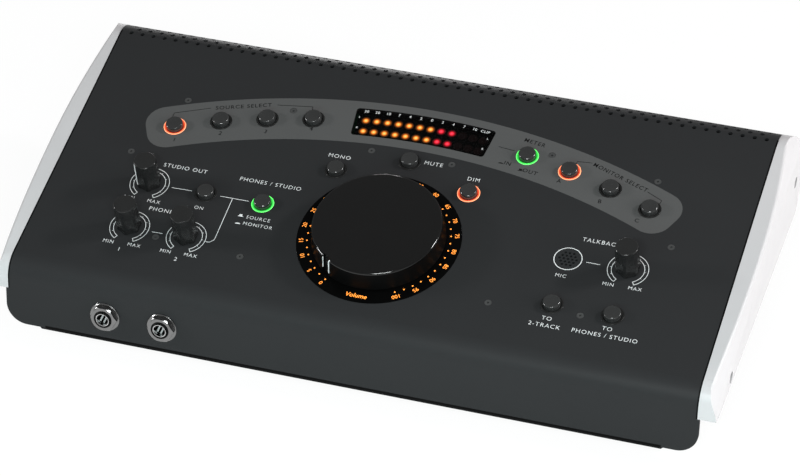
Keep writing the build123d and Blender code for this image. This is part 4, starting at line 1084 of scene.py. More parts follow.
@dataclass
class Legends:
    """The words, brackets and scales printed on the panel.

    Attributes:
        capital: height of a capital letter, in millimetres.
        small: height of a capital in the small words.
        weight: how much the white letters are fattened, as a share of their height.
        band_weight: the same for the dark letters.
        spacing: distance between letters against the type's own.
        line: width of a printed line.
        floor: height of the print's underside.
        band_floor: height of the underside on the band.
        channel_radii: radii of the two arcs round a level knob.
        channel_ends: angles where the arcs start and end, in degrees from across.
        tick: angle between a level scale's ticks, and a tick's length and width.
        sign_base: half length and width of a sign's base line, and its drop below the sign's middle.
        sign_cap: half width of the button over it, and its height when it is out and in.
        signs: places of the white signs, button out and button in.
        band_signs: places of the dark signs, button in and button out.
    """

    capital: float = 2.55
    small: float = 2.2
    weight: float = -0.01
    band_weight: float = 0.01
    spacing: float = 1.2
    line: float = 0.32
    floor: float = 0.015
    band_floor: float = 0.04
    channel_radii: tuple[float, float] = (10.35, 8.35)
    channel_ends: tuple[int, int] = (-60, 240)
    tick: tuple[int, float, float] = (30, 0.8, 0.22)
    sign_base: tuple[float, float, float] = (1.4, 0.4, 0.5)
    sign_cap: tuple[float, float, float] = (0.8, 1.1, 0.35)
    signs: tuple[tuple[float, float], ...] = ((-74.1, -1.2), (-73.9, -6.2))
    band_signs: tuple[tuple[float, float], ...] = ((46.1, 63.1), (57.3, 60.5))

    def words(self) -> list[tuple[str, float, float, float]]:
        """Gives each white word with its place and height."""
        big, small = self.capital, self.small
        return [
            ("MONO", -36.7, 48.4, big), ("MUTE", 12.5, 54.3, big), ("DIM", 35.7, 48.7, big),
            ("STUDIO OUT", -112.9, 22.7, big), ("MAX", -121.5, -2.5, small), ("MIN", -135.0, -2.5, small),
            ("ON", -97.0, -1.3, small), ("PHONES / STUDIO", -66.0, 22.5, big),
            ("SOURCE", -64.5, -1.5, small), ("MONITOR", -63.4, -5.9, small), ("PHONES", -114.8, -7.2, big),
            ("MIN", -135.2, -32.9, small), ("1", -128.0, -36.7, big), ("MAX", -121.3, -32.6, small),
            ("MIN", -104.1, -32.6, small), ("2", -97.2, -36.4, big), ("MAX", -90.6, -32.4, small),
            ("TALKBACK", 110.5, 22.9, big), ("MIC", 96.1, -2.5, small), ("MIN", 120.5, -2.5, small),
            ("MAX", 134.2, -2.4, small), ("TO", 96.7, -30.4, big), ("2-TRACK", 96.6, -34.9, big),
            ("TO", 127.4, -30.0, big), ("PHONES / STUDIO", 127.2, -34.5, big),
        ]

    def band_words(self) -> list[tuple[str, float, float, float, float]]:
        """Gives each dark word on the band with its place, turn and height."""
        big = self.capital
        return [
            ("SOURCE SELECT", -97.3, 70.7, 17.0, big), ("1", -125.5, 40.4, 0.0, big),
            ("2", -103.2, 50.0, 0.0, big), ("3", -80.2, 56.4, 0.0, big), ("4", -57.2, 63.5, 0.0, big),
            ("METER", 59.5, 80.0, -9.0, big), ("IN", 49.6, 63.2, -8.0, big), ("OUT", 62.4, 60.2, -8.0, big),
            ("MONITOR SELECT", 108.5, 66.9, -20.0, big), ("A", 78.6, 57.5, 0.0, big),
            ("B", 102.4, 48.9, 0.0, big), ("C", 124.0, 40.8, 0.0, big),
        ]

    def lines(self) -> list[tuple[tuple[float, float], tuple[float, float]]]:
        """Gives the white connecting lines."""
        return [
            ((-115.5, 8.7), (-104.4, 8.9)), ((-88.7, 8.8), (-73.0, 8.8)), ((-82.0, 8.8), (-82.0, -19.6)),
            ((-82.0, -19.6), (-84.0, -21.9)), ((-84.0, -21.9), (-86.0, -21.9)),
            ((-115.2, -21.9), (-109.5, -21.9)), ((106.3, 8.8), (113.5, 8.8)),
        ]

    def band_lines(self) -> list[tuple[tuple[float, float], tuple[float, float]]]:
        """Gives the dark bracket lines on the band."""
        return [
            ((-131.9, 53.5), (-131.9, 58.3)), ((-131.9, 58.3), (-114.0, 65.8)),
            ((-80.0, 75.7), (-61.4, 78.6)), ((-61.4, 78.6), (-60.6, 74.6)),
            ((41.9, 73.4), (50.8, 72.4)),
            ((84.4, 72.5), (92.0, 73.2)), ((84.4, 72.5), (83.9, 70.4)),
            ((124.4, 60.6), (133.0, 56.4)), ((133.0, 56.4), (132.2, 53.8)),
        ]

    def channel(self, x: float, v: float) -> list[bpy.types.Object]:
        """Draws the scale round a level knob: two arcs with closed ends.

        Args:
            x: the knob's place across.
            v: the knob's place up the slope.

        Returns:
            The scale's strokes.
        """
        half, top = self.line / 2, self.floor + PRINT
        outer, inner = self.channel_radii
        first, last = self.channel_ends
        step, length, width = self.tick
        strokes = []
        for radius in (outer, inner):
            section = [(radius - half, self.floor), (radius + half, self.floor), (radius + half, top),
                       (radius - half, top)]
            strokes.append(Bench.spin(section, x, v, steps=72, start=first, sweep=last - first))
        for angle in range(first, last + 1, step):
            turn = math.radians(angle)
            closing = angle in self.channel_ends
            ends = [(x + reach * math.cos(turn), v + reach * math.sin(turn))
                    for reach in ((inner - half, outer + half) if closing else (inner, inner + length))]
            strokes.append(Bench.bar(*ends, self.line if closing else width, self.floor, top))
        return strokes

    def sign(self, x: float, v: float, pressed: bool, floor: float) -> list[bpy.types.Object]:
        """Draws the small sign for a button that stands out or is pressed in.

        Args:
            x: the sign's middle, across.
            v: its middle, up the slope.
            pressed: whether the button is in.
            floor: height of the print's underside.

        Returns:
            The sign's strokes.
        """
        reach, line, drop = self.sign_base
        half, *rises = self.sign_cap
        rise, base = rises[pressed], v - drop
        middle = base + line / 2 + rise / 2
        return [Bench.bar((x - reach, base), (x + reach, base), line, floor, floor + PRINT),
                Bench.bar((x - half, middle), (x + half, middle), rise, floor, floor + PRINT)]

    def build(self) -> None:
        """Prints the white and the dark legends."""
        white = [Bench.word(text, height, x, v, self.floor + PRINT / 2, weight=self.weight,
                            spacing=self.spacing) for text, x, v, height in self.words()]
        white += [Bench.bar(start, end, self.line, self.floor, self.floor + PRINT)
                  for start, end in self.lines()]
        for name in LEVEL_KNOBS:
            place = PANEL.local(joint(f"{name}_turn")["pos_m"])
            white += self.channel(place.x, place.y)
        dark = [Bench.word(text, height, x, v, self.band_floor + PRINT / 2, turn, weight=self.band_weight,
                           spacing=self.spacing) for text, x, v, turn, height in self.band_words()]
        dark += [Bench.bar(start, end, self.line, self.band_floor, self.band_floor + PRINT)
                 for start, end in self.band_lines()]
        for pressed, place, band_place in zip((False, True), self.signs, self.band_signs):
            white += self.sign(*place, pressed, self.floor)
            dark += self.sign(*band_place, not pressed, self.band_floor)
        on_panel(Bench.join(white, "white_legends"), Finishes.INK, "panel_paint")
        on_panel(Bench.join(dark, "band_legends"), Finishes.DARK_INK, "panel_paint")


@dataclass
class VolumeDial:
    """The volume knob and the lit scale on its dial plate.

    Attributes:
        zero_angle: where the scale starts, in degrees from across.
        turn_per_unit: degrees for each unit of the scale.
        full: where the scale ends.
        number_step: units between two numbers.
        dot_step: units between two dots.
        dot_radius: distance of the dots from the axis, in millimetres.
        dot: a dot's radius and thickness.
        number_radius: distance of the numbers.
        digit: height of a digit.
        title: height of the dial's name, its distance from the axis and how far its letters lean.
        weight: how much those letters are fattened, as a share of their height.
        face: height of the dial plate's face.
        rest_angle: where the pointer stands at rest, in degrees from across.
        radius: the knob's radius.
        base: height of its lower rim.
        top: height of its top.
        edge: rounding of its upper edge.
        draft: how much narrower it is at the top.
        side_limit: a face that looks less out of the panel than this share belongs to the knob's side.
        wall: thickness of its wall.
        roof: thickness of its top.
        hub: radius of its hub.
        bore: radius and upper end of the shaft's bore.
        chamfer: width of the slope along its lower rim.
        past: how far the groove's tool reaches past the knob's foot and top.
        groove: where the pointer groove's right and left walls stand, left of the axis's line, and its
            floor's radius at the top and at the foot.
        line: width of the painted highlight along the groove's right edge, and how far over the rim both
            lines end.
    """

    zero_angle: float = 240.0
    turn_per_unit: float = 3.0
    full: int = 100
    number_step: int = 5
    dot_step: float = 2.5
    dot_radius: float = 36.7
    dot: tuple[float, float] = (0.42, 0.03)
    number_radius: float = 39.6
    digit: float = 2.3
    title: tuple[float, float, float] = (2.645, 38.3, 0.15)
    weight: float = 0.01
    face: float = 0.3
    rest_angle: float = 236.0
    radius: float = 34.5
    base: float = 1.3
    top: float = 12.3
    edge: float = 1.4
    draft: float = 1.1
    side_limit: float = 0.2
    wall: float = 4.6
    roof: float = 3.5
    hub: float = 6.0
    bore: tuple[float, float] = (3.05, 8.35)
    chamfer: float = 0.15
    past: float = 0.2
    groove: tuple[float, float, float, float] = (-2.7, 2.3, 31.6, 33.4)
    line: tuple[float, float] = (0.55, 2.4)

    def knob(self) -> bpy.types.Object:
        """Spins the hollow knob with its rounded edge and cuts the pointer's groove."""
        bore, bore_top = self.bore
        inner, ceiling = self.radius - self.wall, self.top - self.roof
        section = [(0.0, bore_top), (bore, bore_top), (bore, self.base), (self.hub, self.base),
                   (self.hub, ceiling), (inner, ceiling), (inner, self.base),
                   (self.radius - self.chamfer, self.base), (self.radius, self.base + self.chamfer)]
        section += rounding(self.radius - self.draft - self.edge, self.top - self.edge, self.edge, 8)
        knob = Bench.spin([*section, (0.0, self.top)], steps=160)
        right, left, head, foot = self.groove
        low, high, out = self.base - self.past, self.top + self.past, self.radius + 1
        Bench.cut(knob, [self.upright([(head, high), (foot, low), (out, low), (out, high)], right, left)])
        Bench.smooth(knob, angle=30)
        knob.name = "volume_knob_moulding"
        return knob

    @staticmethod
    def upright(outline: list[tuple[float, float]], low: float, high: float) -> bpy.types.Object:
        """Stands a plate on edge, so that its outline gives radius and height.

        Args:
            outline: radius and height of each corner, in millimetres.
            low: where its right side stands, to the left of the axis's line.
            high: where its left side stands.

        Returns:
            The plate.
        """
        return Bench.place(Bench.plate(outline, low, high), Matrix.Rotation(math.pi / 2, 4, "X"))

    def pointer(self) -> bpy.types.Object:
        """Makes a white line along the groove's right edge, which is a painted highlight of that edge, and
        the pointer's white line on its left wall.
        """
        right, left, head, foot = self.groove
        width, lift = self.line
        rim, top, low = self.radius - self.draft, self.top, self.base + lift
        # The painted highlight: out along the top, round the rim and down the side, and back a little deeper.
        edge = [(rim - 1.2, top - 0.1), (rim - 0.5, top - 0.2), (rim + 0.02, top - 0.8),
                (rim + 0.14, top - 1.6), (self.radius - 0.1, low), (self.radius - 0.6, low),
                (rim - 0.4, top - 1.6), (rim - 1.2, top - 0.6)]
        # The pointer's print: a sliver of the left wall that leans with the groove's floor.
        wall = [(head + 1.1, top - 1.2), (foot + 0.1, low), (foot + 0.75, low), (head + 1.65, top - 1.2)]
        return Bench.join([self.upright(edge, right - width, right + 0.02),
                           self.upright(wall, left - 0.08, left + 0.01)], "volume_pointer_and_glint")

    def build(self) -> None:
        """Prints the lit scale and makes the knob with its pointer and the painted highlight along the
        groove's edge.
        """
        paint("dial_plate", Finishes.DIAL)
        radius, thickness = self.dot
        marks = []
        for dot in range(int(self.full / self.dot_step) + 1):
            angle = math.radians(self.zero_angle - self.turn_per_unit * self.dot_step * dot)
            marks.append(Bench.cylinder(radius, self.face, self.face + thickness,
                                        self.dot_radius * math.cos(angle), self.dot_radius * math.sin(angle),
                                        sides=16))
        for value in range(0, self.full + 1, self.number_step):
            degrees = self.zero_angle - self.turn_per_unit * value
            angle = math.radians(degrees)
            marks.append(Bench.word(str(value), self.digit, self.number_radius * math.cos(angle),
                                    self.number_radius * math.sin(angle), self.face + PRINT, degrees - 90))
        height, distance, slant = self.title
        marks.append(Bench.word("Volume", height, 0.0, -distance, self.face + PRINT, slant=slant,
                                weight=self.weight))
        on_panel(Bench.join(marks, "dial_scale"), Finishes.LEGEND, "ring_diffuser")
        turned = PANEL.matrix @ Matrix.Rotation(math.radians(self.rest_angle), 4, "Z")
        knob = Bench.place(self.knob(), turned)
        Bench.done(knob, Finishes.KNOB, "volume", "knob_black", "volume_knob")
        knob.data.materials.append(Finishes.KNOB_SIDE.make())
        for face in knob.data.polygons:
            face.material_index = int(abs(face.normal.dot(PANEL.out)) < self.side_limit)
        # White ink for the pointer's print and for the painted highlight along the groove's right edge.
        Bench.done(Bench.place(self.pointer(), turned), Finishes.INK, "volume", "knob_black")


@dataclass
class LevelKnobs:
    """The four slim level knobs with their pointer lines.

    Attributes:
        edge: width and steps of the rounding, and the turn in degrees that an edge is rounded from.
        foot: radius and height of the knob's foot, in millimetres.
        head: radius and height of its top.
        line: the line's width.
        proud: how far the line stands out of the ridge.
        line_ends: heights where the line starts and ends.
    """

    edge: tuple[float, int, float] = (0.2, 2, 25.0)
    foot: tuple[float, float] = (6.4, 0.6)
    head: tuple[float, float] = (5.9, 18.2)
    line: float = 1.0
    proud: float = 0.12
    line_ends: tuple[float, float] = (3.0, 17.4)

    def pointer(self, name: str) -> bpy.types.Object:
        """Makes the line that stands up a knob's pointer ridge.

        Args:
            name: the knob's name.

        Returns:
            The line, upright, beside the axis.
        """
        (foot, low), (head, high) = self.foot, self.head
        start, end = self.line_ends
        lean = math.atan2(foot - head, high - low)
        middle = (start + end) / 2
        reach = foot - (middle - low) * math.tan(lean)
        line = Bench.box((reach, 0.0, middle), (2 * self.proud, self.line, end - start), (0.0, -lean, 0.0))
        line.name = f"{name}_pointer"
        return line

    def build(self) -> None:
        """Dresses the knobs and lays a line up each pointer ridge."""
        for name, angle in LEVEL_KNOBS.items():
            node = f"{name}_knob"
            knob = Bench.refined(node, f"{name}_knob_moulding", *self.edge)
            Bench.done(knob, Finishes.SMALL_KNOB, name, "knob_black", node)
            place = PANEL.local(joint(f"{name}_turn")["pos_m"])
            turned = PANEL.at(place.x, place.y) @ Matrix.Rotation(math.radians(angle), 4, "Z")
            Bench.done(Bench.place(self.pointer(name), turned), Finishes.INK, name, "knob_black")


class RingState(Enum):
    """How a button's ring is lit."""

    DARK = "dark"
    ORANGE = "orange"
    GREEN = "green"


@dataclass
class PushButtons:
    """The fifteen buttons, each in its ring.

    Attributes:
        outer: the ring's outer radius, in millimetres.
        rim: inner radius of the bead along its outer edge.
        inner: its inner radius.
        proud: how far it stands over the panel.
        chamfer: width of the slope along its inner edge.
        rim_foot: height of the bead's lower end.
        flange: radius of the hidden flange under the panel.
        flange_top: height of the flange's upper face.
        flange_bottom: height of its lower face.
        column: distance of the inner column of buttons from the volume axis, across.
        outer_column: distance of the outermost button.
        third_column: distance of the button that chooses what the phones play.
        upper_row: place of the upper row, up the slope.
        lower_row: place of the lower row.
        dial_ring: distance of the three buttons over the dial from the volume axis.
        dial_angle: angle between them, in degrees.
        cap_radius: a cap's radius.
        cap_bottom: height of its lower face.
        cap_top: height of its edge.
        cap_edge: rounding of its edge.
        cap_dish: depth of its dish.
        stem: side of its square stem.
        stem_bottom: height of the stem's lower end.
    """

    outer: float = 5.9
    rim: float = 5.45
    inner: float = 4.8
    proud: float = 0.3
    chamfer: float = 0.12
    rim_foot: float = -1.0
    flange: float = 6.7
    flange_top: float = -1.5
    flange_bottom: float = -2.7
    column: float = 96.8
    outer_column: float = 127.8
    third_column: float = 65.6
    upper_row: float = 8.9
    lower_row: float = -21.2
    dial_ring: float = 53.2
    dial_angle: float = 42.3
    cap_radius: float = 4.5
    cap_bottom: float = -1.2
    cap_top: float = 3.1
    cap_edge: float = 0.9
    cap_dish: float = 0.2
    stem: float = 3.2
    stem_bottom: float = -9.6

    def places(self) -> dict[str, tuple[float, float, RingState]]:
        """Gives each button's place and how its ring is lit."""
        turn = math.radians(self.dial_angle)
        side, rise = self.dial_ring * math.sin(turn), self.dial_ring * math.cos(turn)
        dark, orange, green = RingState.DARK, RingState.ORANGE, RingState.GREEN
        return {
            "source_1": (*ARC.button(-4), orange), "source_2": (*ARC.button(-3), dark),
            "source_3": (*ARC.button(-2), dark), "source_4": (*ARC.button(-1), dark),
            "meter": (*ARC.button(1), green), "monitor_a": (*ARC.button(2), orange),
            "monitor_b": (*ARC.button(3), dark), "monitor_c": (*ARC.button(4), dark),
            "mono": (-side, rise, dark), "mute": (0.0, self.dial_ring, dark), "dim": (side, rise, orange),
            "studio_on": (-self.column, self.upper_row, dark),
            "phones_source": (-self.third_column, self.upper_row, green),
            "talk_to_track": (self.column, self.lower_row, dark),
            "talk_to_phones": (self.outer_column, self.lower_row, dark),
        }

    def ring(self) -> bpy.types.Object:
        """Spins one ring with its hidden flange, up to its rim."""
        face = self.proud - self.chamfer
        section = [
            (self.inner, self.flange_bottom), (self.flange, self.flange_bottom),
            (self.flange, self.flange_top), (self.rim, self.flange_top), (self.rim, face),
            (self.inner + self.chamfer, face), (self.inner, face - self.chamfer),
        ]
        return Bench.smooth(Bench.spin(section, steps=48), angle=30)

    def ring_rim(self) -> bpy.types.Object:
        """Spins the round bead along a ring's outer edge."""
        half = (self.outer - self.rim) / 2
        section = [(self.rim, self.rim_foot), (self.outer, self.rim_foot)]
        section += rounding(self.rim + half, self.proud - half, half, 8, 180.0)
        return Bench.smooth(Bench.spin(section, steps=48), angle=50)

    def cap(self) -> bpy.types.Object:
        """Spins one cap with a round edge and a shallow dish, and stands it on its stem."""
        edge = rounding(self.cap_radius - self.cap_edge, self.cap_top - self.cap_edge, self.cap_edge, 6)
        dish = [(self.cap_radius * share, self.cap_top - self.cap_dish * (1 - share ** 2))
                for share in (0.75, 0.5, 0.25, 0.0)]
        section = [(0.0, self.cap_bottom), (self.cap_radius, self.cap_bottom), *edge, *dish]
        shell = Bench.smooth(Bench.spin(section, steps=48), angle=40)
        half = self.stem / 2
        stem = Bench.bar((-half, 0.0), (half, 0.0), self.stem, self.stem_bottom, self.cap_bottom)
        return Bench.join([shell, stem], "cap")

    def build(self) -> None:
        """Models the rings by their state and a cap for each button."""
        looks = {RingState.DARK: (Finishes.RING_OFF, Finishes.RING_OFF),
                 RingState.ORANGE: (Finishes.ORANGE, Finishes.ORANGE_RIM),
                 RingState.GREEN: (Finishes.GREEN, Finishes.GREEN_RIM)}
        for part, (shape, kind) in enumerate(((self.ring(), "rings"), (self.ring_rim(), "ring_rims"))):
            for state, finishes in looks.items():
                group = [Bench.copy(shape, x, v) for x, v, lit in self.places().values() if lit is state]
                on_panel(Bench.join(group, f"{state.value}_{kind}"), finishes[part], "ring_diffuser",
                         "light_rings")
            bpy.data.objects.remove(shape)
        cap = self.cap()
        for name, (x, v, _) in self.places().items():
            button = Bench.copy(cap, x, v)
            button.name = f"{name}_cap"
            Bench.done(Bench.place(button, PANEL.matrix), Finishes.CAP, name, "button_grey", f"{name}_button")
        bpy.data.objects.remove(cap)


@dataclass
class ArcMeter:
    """The meter: its smoked window, its diodes and its scale.

    Attributes:
        columns: how many diodes each row has.
        step: angle between them, in degrees.
        rows: each row's distance from the arc's centre, in millimetres.
        amber: how many diodes are lit amber.
        red: how many after them are lit red.
        diode: a diode's radius.
        diode_top: height of its crown.
        diode_bottom: height of its lower end.
        halo: radius of the disc that scatters its light.
        disc: how far the disc's face lies below the crown, and its thickness.
        labels: what stands over each column.
        label_radius: distance of the labels from the arc's centre.
        label_height: height of a label's digits.
        letter: height of a row's letter, its angle to each side and its drop below the row.
        spacing: distance between the labels' digits against the type's own.
        print_level: height of the print's middle.
    """

    columns: int = 12
    step: float = 1.0
    rows: tuple[float, float] = (334.6, 327.2)
    amber: int = 7
    red: int = 2
    diode: float = 1.3
    diode_top: float = -3.0
    diode_bottom: float = -15.0
    halo: float = 2.5
    disc: tuple[float, float] = (0.1, 0.04)
    labels: tuple[str, ...] = ("30", "20", "10", "7", "4", "2", "0", "2", "4", "7", "10", "CLIP")
    label_radius: float = 338.1
    label_height: float = 1.75
    letter: tuple[float, float, float] = (1.3, 6.0, 0.6)
    spacing: float = 1.1
    print_level: float = 0.12

    def angle(self, column: int) -> float:
        """Gives a column's angle on the arc, in degrees."""
        return (column - (self.columns - 1) / 2) * self.step

    def diode_shape(self) -> bpy.types.Object:
        """Spins a diode with the disc that scatters its light, and maps the distance from its middle."""
        disc_top = self.diode_top - self.disc[0]
        disc_low = disc_top - self.disc[1]
        # Up the body to the disc, in over its face and up the low dome to the crown.
        section = [(0.0, self.diode_bottom), (self.diode, self.diode_bottom), (self.diode, disc_low),
                   (self.halo, disc_low), (self.halo, disc_top)]
        section += [(self.halo * share, disc_top) for share in (0.85, 0.7, 0.58)]
        section += [(self.diode * 0.8, disc_top + 0.03), (self.diode * 0.5, self.diode_top - 0.03),
                    (self.diode * 0.22, self.diode_top - 0.01), (0.0, self.diode_top)]
        shape = Bench.spin(section, steps=24)
        reach = shape.data.uv_layers.new(name="reach")
        for corner in shape.data.loops:
            place = shape.data.vertices[corner.vertex_index].co
            reach.data[corner.index].uv = (min(1.0, place.xy.length / (self.halo * MM)), 0.0)
        return Bench.smooth(shape, angle=60)

    def diodes(self, shape: bpy.types.Object, first: int, last: int) -> list[bpy.types.Object]:
        """Copies the diode to some columns of both rows.

        Args:
            shape: the diode that is copied.
            first: the first column.
            last: the column after the last.

        Returns:
            The copies.
        """
        angles = [self.angle(column) for column in range(first, last)]
        return [Bench.copy(shape, *ARC.place(angle, radius)) for radius in self.rows for angle in angles]

    def build(self) -> None:
        """Dresses the window and models the diodes by colour."""
        paint("meter_window", Finishes.SMOKE)
        groups = [("amber_diodes", 0, self.amber, Finishes.AMBER),
                  ("red_diodes", self.amber, self.amber + self.red, Finishes.SCARLET),
                  ("dark_diodes", self.amber + self.red, self.columns, Finishes.LED_OFF)]
        shape = self.diode_shape()
        for name, first, last, finish in groups:
            on_panel(Bench.join(self.diodes(shape, first, last), name), finish, "led_amber", "meter_leds")
        bpy.data.objects.remove(shape)
        words = [Bench.word(text, self.label_height, *ARC.place(self.angle(column), self.label_radius),
                            self.print_level, -self.angle(column), spacing=self.spacing)
                 for column, text in enumerate(self.labels)]
        height, aside, drop = self.letter
        words += [Bench.word(text, height, *ARC.place(angle, radius - drop), self.print_level)
                  for radius, text in zip(self.rows, ("L", "R")) for angle in (-aside, aside)]
        on_panel(Bench.join(words, "meter_scale"), Finishes.INK, "panel_paint")


@dataclass
class TalkbackMicrophone:
    """The printed ring round the microphone's holes.

    Attributes:
        x: its middle's place across, in millimetres.
        v: its middle's place up the slope.
        radius: its outer radius.
        line: the line's width.
        floor: height of the print's underside.
    """

    x: float = 96.8
    v: float = 8.9
    radius: float = 7.3
    line: float = 0.45
    floor: float = 0.015

    def build(self) -> None:
        """Prints the ring."""
        inner, top = self.radius - self.line, self.floor + PRINT
        section = [(inner, self.floor), (self.radius, self.floor), (self.radius, top), (inner, top)]
        ring = Bench.spin(section, self.x, self.v, steps=64)
        ring.name = "microphone_ring"
        on_panel(ring, Finishes.INK, "panel_paint")


@dataclass
class Sockets:
    """The headphone sockets in the flap and the connections at the back.

    Attributes:
        finishes: each CAD node's finish.
        columns: how far across the headphone sockets stand, in millimetres.
        flap: their place behind the knob's centre and over it.
        contact: side offset, width and half length of a contact.
        contact_faces: how far out of the flap a contact's back and face stand.
        contact_turn: how far the contacts lean, in degrees.
        nut_edge: width and steps of a nut's rounding, and the turn in degrees that an edge is rounded from.
    """

    finishes: dict[str, Finish] = field(default_factory=lambda: {
        "phones_jacks": Finishes.BLACK,
        "phones_jack_sleeves": Finishes.SLEEVE,
        "phones_jack_washers": Finishes.CHROME,
        "line_jacks": Finishes.MOULDED,
        "line_jack_nuts": Finishes.CHROME,
        "phono_sockets": Finishes.MOULDED,
        "data_socket": Finishes.STEEL,
        "power_inlet": Finishes.MOULDED,
        "power_switch_frame": Finishes.MOULDED,
        "power_switch_rocker": Finishes.MOULDED,
    })

    columns: tuple[float, float] = (-127.8, -96.8)
    flap: tuple[float, float] = (-57.478, -37.833)
    contact: tuple[float, float, float] = (1.0, 0.85, 2.7)
    contact_faces: tuple[float, float] = (0.9, 1.3)
    contact_turn: float = -24.0
    nut_edge: tuple[float, int, float] = (0.3, 3, 25.0)

    def contacts(self, x: float) -> list[bpy.types.Object]:
        """Stands the two contact leaves in a socket's bore.

        Args:
            x: the socket's place across.

        Returns:
            The leaves.
        """
        aside, width, half = self.contact
        turned = flap_place(x, *self.flap) @ Matrix.Rotation(math.radians(self.contact_turn), 4, "Z")
        return [Bench.place(Bench.bar((side * aside, -half), (side * aside, half), width,
                                      *self.contact_faces), turned) for side in (-1, 1)]

    def build(self) -> None:
        """Dresses the sockets and adds their contacts."""
        leaves = Bench.join([leaf for x in self.columns for leaf in self.contacts(x)], "phones_contacts")
        Bench.done(leaves, Finishes.CONTACT, CONSOLE, "chrome")
        for node, finish in self.finishes.items():
            paint(node, finish)
        nuts = Bench.refined("phones_jack_nuts", "phones_nuts", *self.nut_edge)
        Bench.done(nuts, Finishes.CHROME, CONSOLE, "chrome", "phones_jack_nuts")


# ---------------------------------------------------------------------------------------------
# Studio
# ---------------------------------------------------------------------------------------------
@dataclass(frozen=True)
class Lamp:
    """A soft box that faces the object.

    Attributes:
        name: the lamp's name.
        turn: where it stands round the object, in degrees from its right side.
        rise: how high it stands, in degrees over the floor.
        size: its width and height, in metres.
        power: its power, in watts.
        distance: how far away it stands, in metres.
        colour: its colour.
        mirrored: whether glossy pieces mirror it.
        seen: whether the camera sees it.
        middle: the place that it faces, in metres.
    """

    name: str
    turn: float
    rise: float
    size: tuple[float, float]
    power: float
    distance: float = 1.3
    colour: Colour = (1.0, 1.0, 1.0)
    mirrored: bool = True
    seen: bool = True
    middle: tuple[float, float, float] = (0.0, 0.0, 0.05)

    def build(self) -> None:
        """Hangs the lamp."""
        data = bpy.data.lights.new(self.name, "AREA")
        data.shape = "RECTANGLE"
        data.size, data.size_y = self.size
        data.energy = self.power
        data.color = self.colour
        lamp = bpy.data.objects.new(self.name, data)
        bpy.context.scene.collection.objects.link(lamp)
        across, up = math.radians(self.turn), math.radians(self.rise)
        way = Vector((math.cos(up) * math.cos(across), math.cos(up) * math.sin(across), math.sin(up)))
        place = Vector(self.middle) + self.distance * way
        facing = (-way).to_track_quat("-Z", "Y").to_matrix().to_4x4()
        lamp.matrix_world = Matrix.Translation(place) @ facing
        lamp.visible_glossy = self.mirrored
        lamp.visible_camera = self.seen


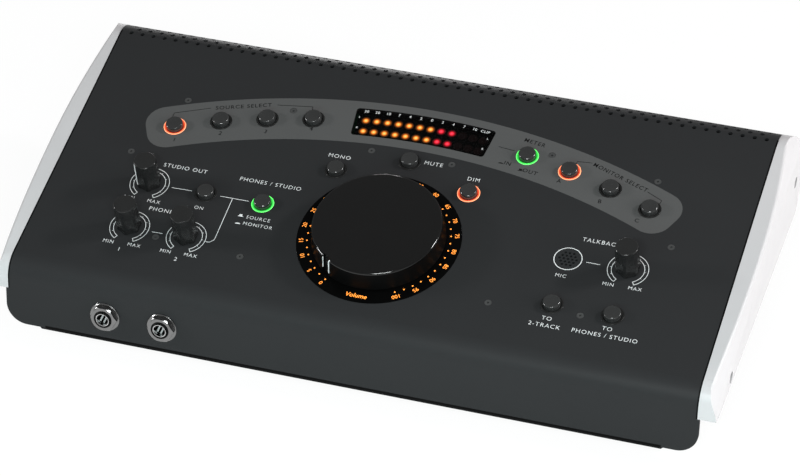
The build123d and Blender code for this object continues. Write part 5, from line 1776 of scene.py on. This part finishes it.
@dataclass
class Studio:
    """The floor, the lamps and the camera.

    Attributes:
        lamps: four slim strips, which draw the highlights, and two fills.
        camera: the camera's place, in millimetres on the panel's axes.
        aim: the place on the panel that it looks at.
        roll: how far it leans, in degrees.
        lens: its focal length for a 36 mm sensor.
        floor_size: the floor's side, in metres.
        floor_white: how far the floor shows plain white, so that the rest carries the shadow.
        sky_light: brightness of the surroundings on the object.
    """

    lamps: tuple[Lamp, ...] = (
        Lamp("left strip", -165.0, 20.0, (0.30, 0.12), 7.0),
        Lamp("front strip", -75.0, 33.0, (0.45, 0.12), 11.0, colour=(0.96, 1.0, 1.0)),
        Lamp("right strip", 15.0, 35.0, (0.25, 0.12), 9.0),
        Lamp("back strip", 108.0, 9.0, (0.22, 0.12), 2.6),
        Lamp("right fill", -8.0, 12.0, (1.2, 0.8), 23.0, distance=1.8, mirrored=False),
        Lamp("front fill", -88.0, 16.0, (0.6, 0.06), 0.8, distance=0.42, colour=(0.65, 1.0, 1.0),
             mirrored=False, seen=False),
    )
    camera: tuple[float, float, float] = (438.4, -995.7, 1272.0)
    aim: tuple[float, float, float] = (10.31, 2.85, 0.0)
    roll: float = 0.167
    lens: float = 148.8
    floor_size: float = 30.0
    floor_white: float = 0.92
    sky_light: float = 0.25

    def build(self) -> None:
        """Sets up the studio."""
        self.add_camera()
        self.add_floor()
        self.add_world()
        self.add_lamps()
        bpy.context.scene.view_settings.view_transform = "Standard"

    def add_camera(self) -> None:
        """Places the camera."""
        eye, target = PANEL.world(*self.camera), PANEL.world(*self.aim)
        data = bpy.data.cameras.new("camera")
        data.lens = self.lens
        data.sensor_width = 36.0
        data.sensor_fit = "HORIZONTAL"
        data.clip_start, data.clip_end = 0.05, 60.0
        camera = bpy.data.objects.new("camera", data)
        bpy.context.scene.collection.objects.link(camera)
        turn = (target - eye).to_track_quat("-Z", "Y").to_matrix().to_4x4()
        roll = Matrix.Rotation(math.radians(self.roll), 4, "Z")
        camera.matrix_world = Matrix.Translation(eye) @ turn @ roll
        bpy.context.scene.camera = camera

    def add_floor(self) -> None:
        """Lays the pale floor, which keeps a faint shadow."""
        Bench.clear()
        bpy.ops.mesh.primitive_plane_add(size=self.floor_size, location=(0.0, 0.0, 0.0))
        floor = bpy.context.object
        floor.name = "floor"
        material = bpy.data.materials.new("pale floor")
        material.use_nodes = True
        nodes, links = material.node_tree.nodes, material.node_tree.links
        shader = settle(nodes["Principled BSDF"], {
            "Base Color": (0.9, 0.9, 0.9, 1.0), "Roughness": 0.9, "Specular IOR Level": 0.1})
        white = settle(nodes.new("ShaderNodeEmission"), {"Color": (1.0, 1.0, 1.0, 1.0), "Strength": 1.0})
        mix = nodes.new("ShaderNodeMixShader")
        share = settle(nodes.new("ShaderNodeMath"), {1: self.floor_white})
        share.operation = "MULTIPLY"
        wire(links, (self.seen(nodes, links), 0, share, 0), (share, 0, mix, 0), (shader, 0, mix, 1),
             (white, 0, mix, 2), (mix, 0, nodes["Material Output"], "Surface"))
        floor.data.materials.append(material)

    @staticmethod
    def seen(nodes: bpy.types.Nodes, links: bpy.types.NodeLinks) -> bpy.types.Node:
        """Gives a node whose output is 1 for rays from the camera, a reflection or a lens.

        Args:
            nodes: the nodes of the material or world.
            links: its links.

        Returns:
            The node.
        """
        path = nodes.new("ShaderNodeLightPath")
        either, any_ray = nodes.new("ShaderNodeMath"), nodes.new("ShaderNodeMath")
        either.operation = any_ray.operation = "MAXIMUM"
        wire(links, (path, "Is Camera Ray", either, 0), (path, "Is Glossy Ray", either, 1),
             (either, 0, any_ray, 0), (path, "Is Transmission Ray", any_ray, 1))
        return any_ray

    def add_world(self) -> None:
        """Lights the surroundings evenly."""
        world = bpy.data.worlds.new("studio")
        bpy.context.scene.world = world
        world.use_nodes = True
        settle(world.node_tree.nodes["Background"],
               {"Strength": self.sky_light, "Color": (1.0, 1.0, 1.0, 1.0)})

    def add_lamps(self) -> None:
        """Sets the lamps round the object."""
        for lamp in self.lamps:
            lamp.build()


def corners(bounds: tuple[Vector, Vector]) -> list[list[float]]:
    """Gives a box's two corners as plain lists of numbers."""
    return [[float(value) for value in corner] for corner in bounds]


def main() -> None:
    """Builds the controller's looks, piece by piece, and the studio round it."""
    logging.basicConfig(level=logging.INFO, format="%(name)s: %(message)s")
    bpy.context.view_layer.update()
    for assembly in (Case(), Inside(), Band(), Legends(), VolumeDial(), LevelKnobs(), PushButtons(),
                     ArcMeter(), TalkbackMicrophone(), Sockets(), Studio()):
        LOG.info("building %s", type(assembly).__name__)
        assembly.build()


if __name__ == "__main__":
    main()
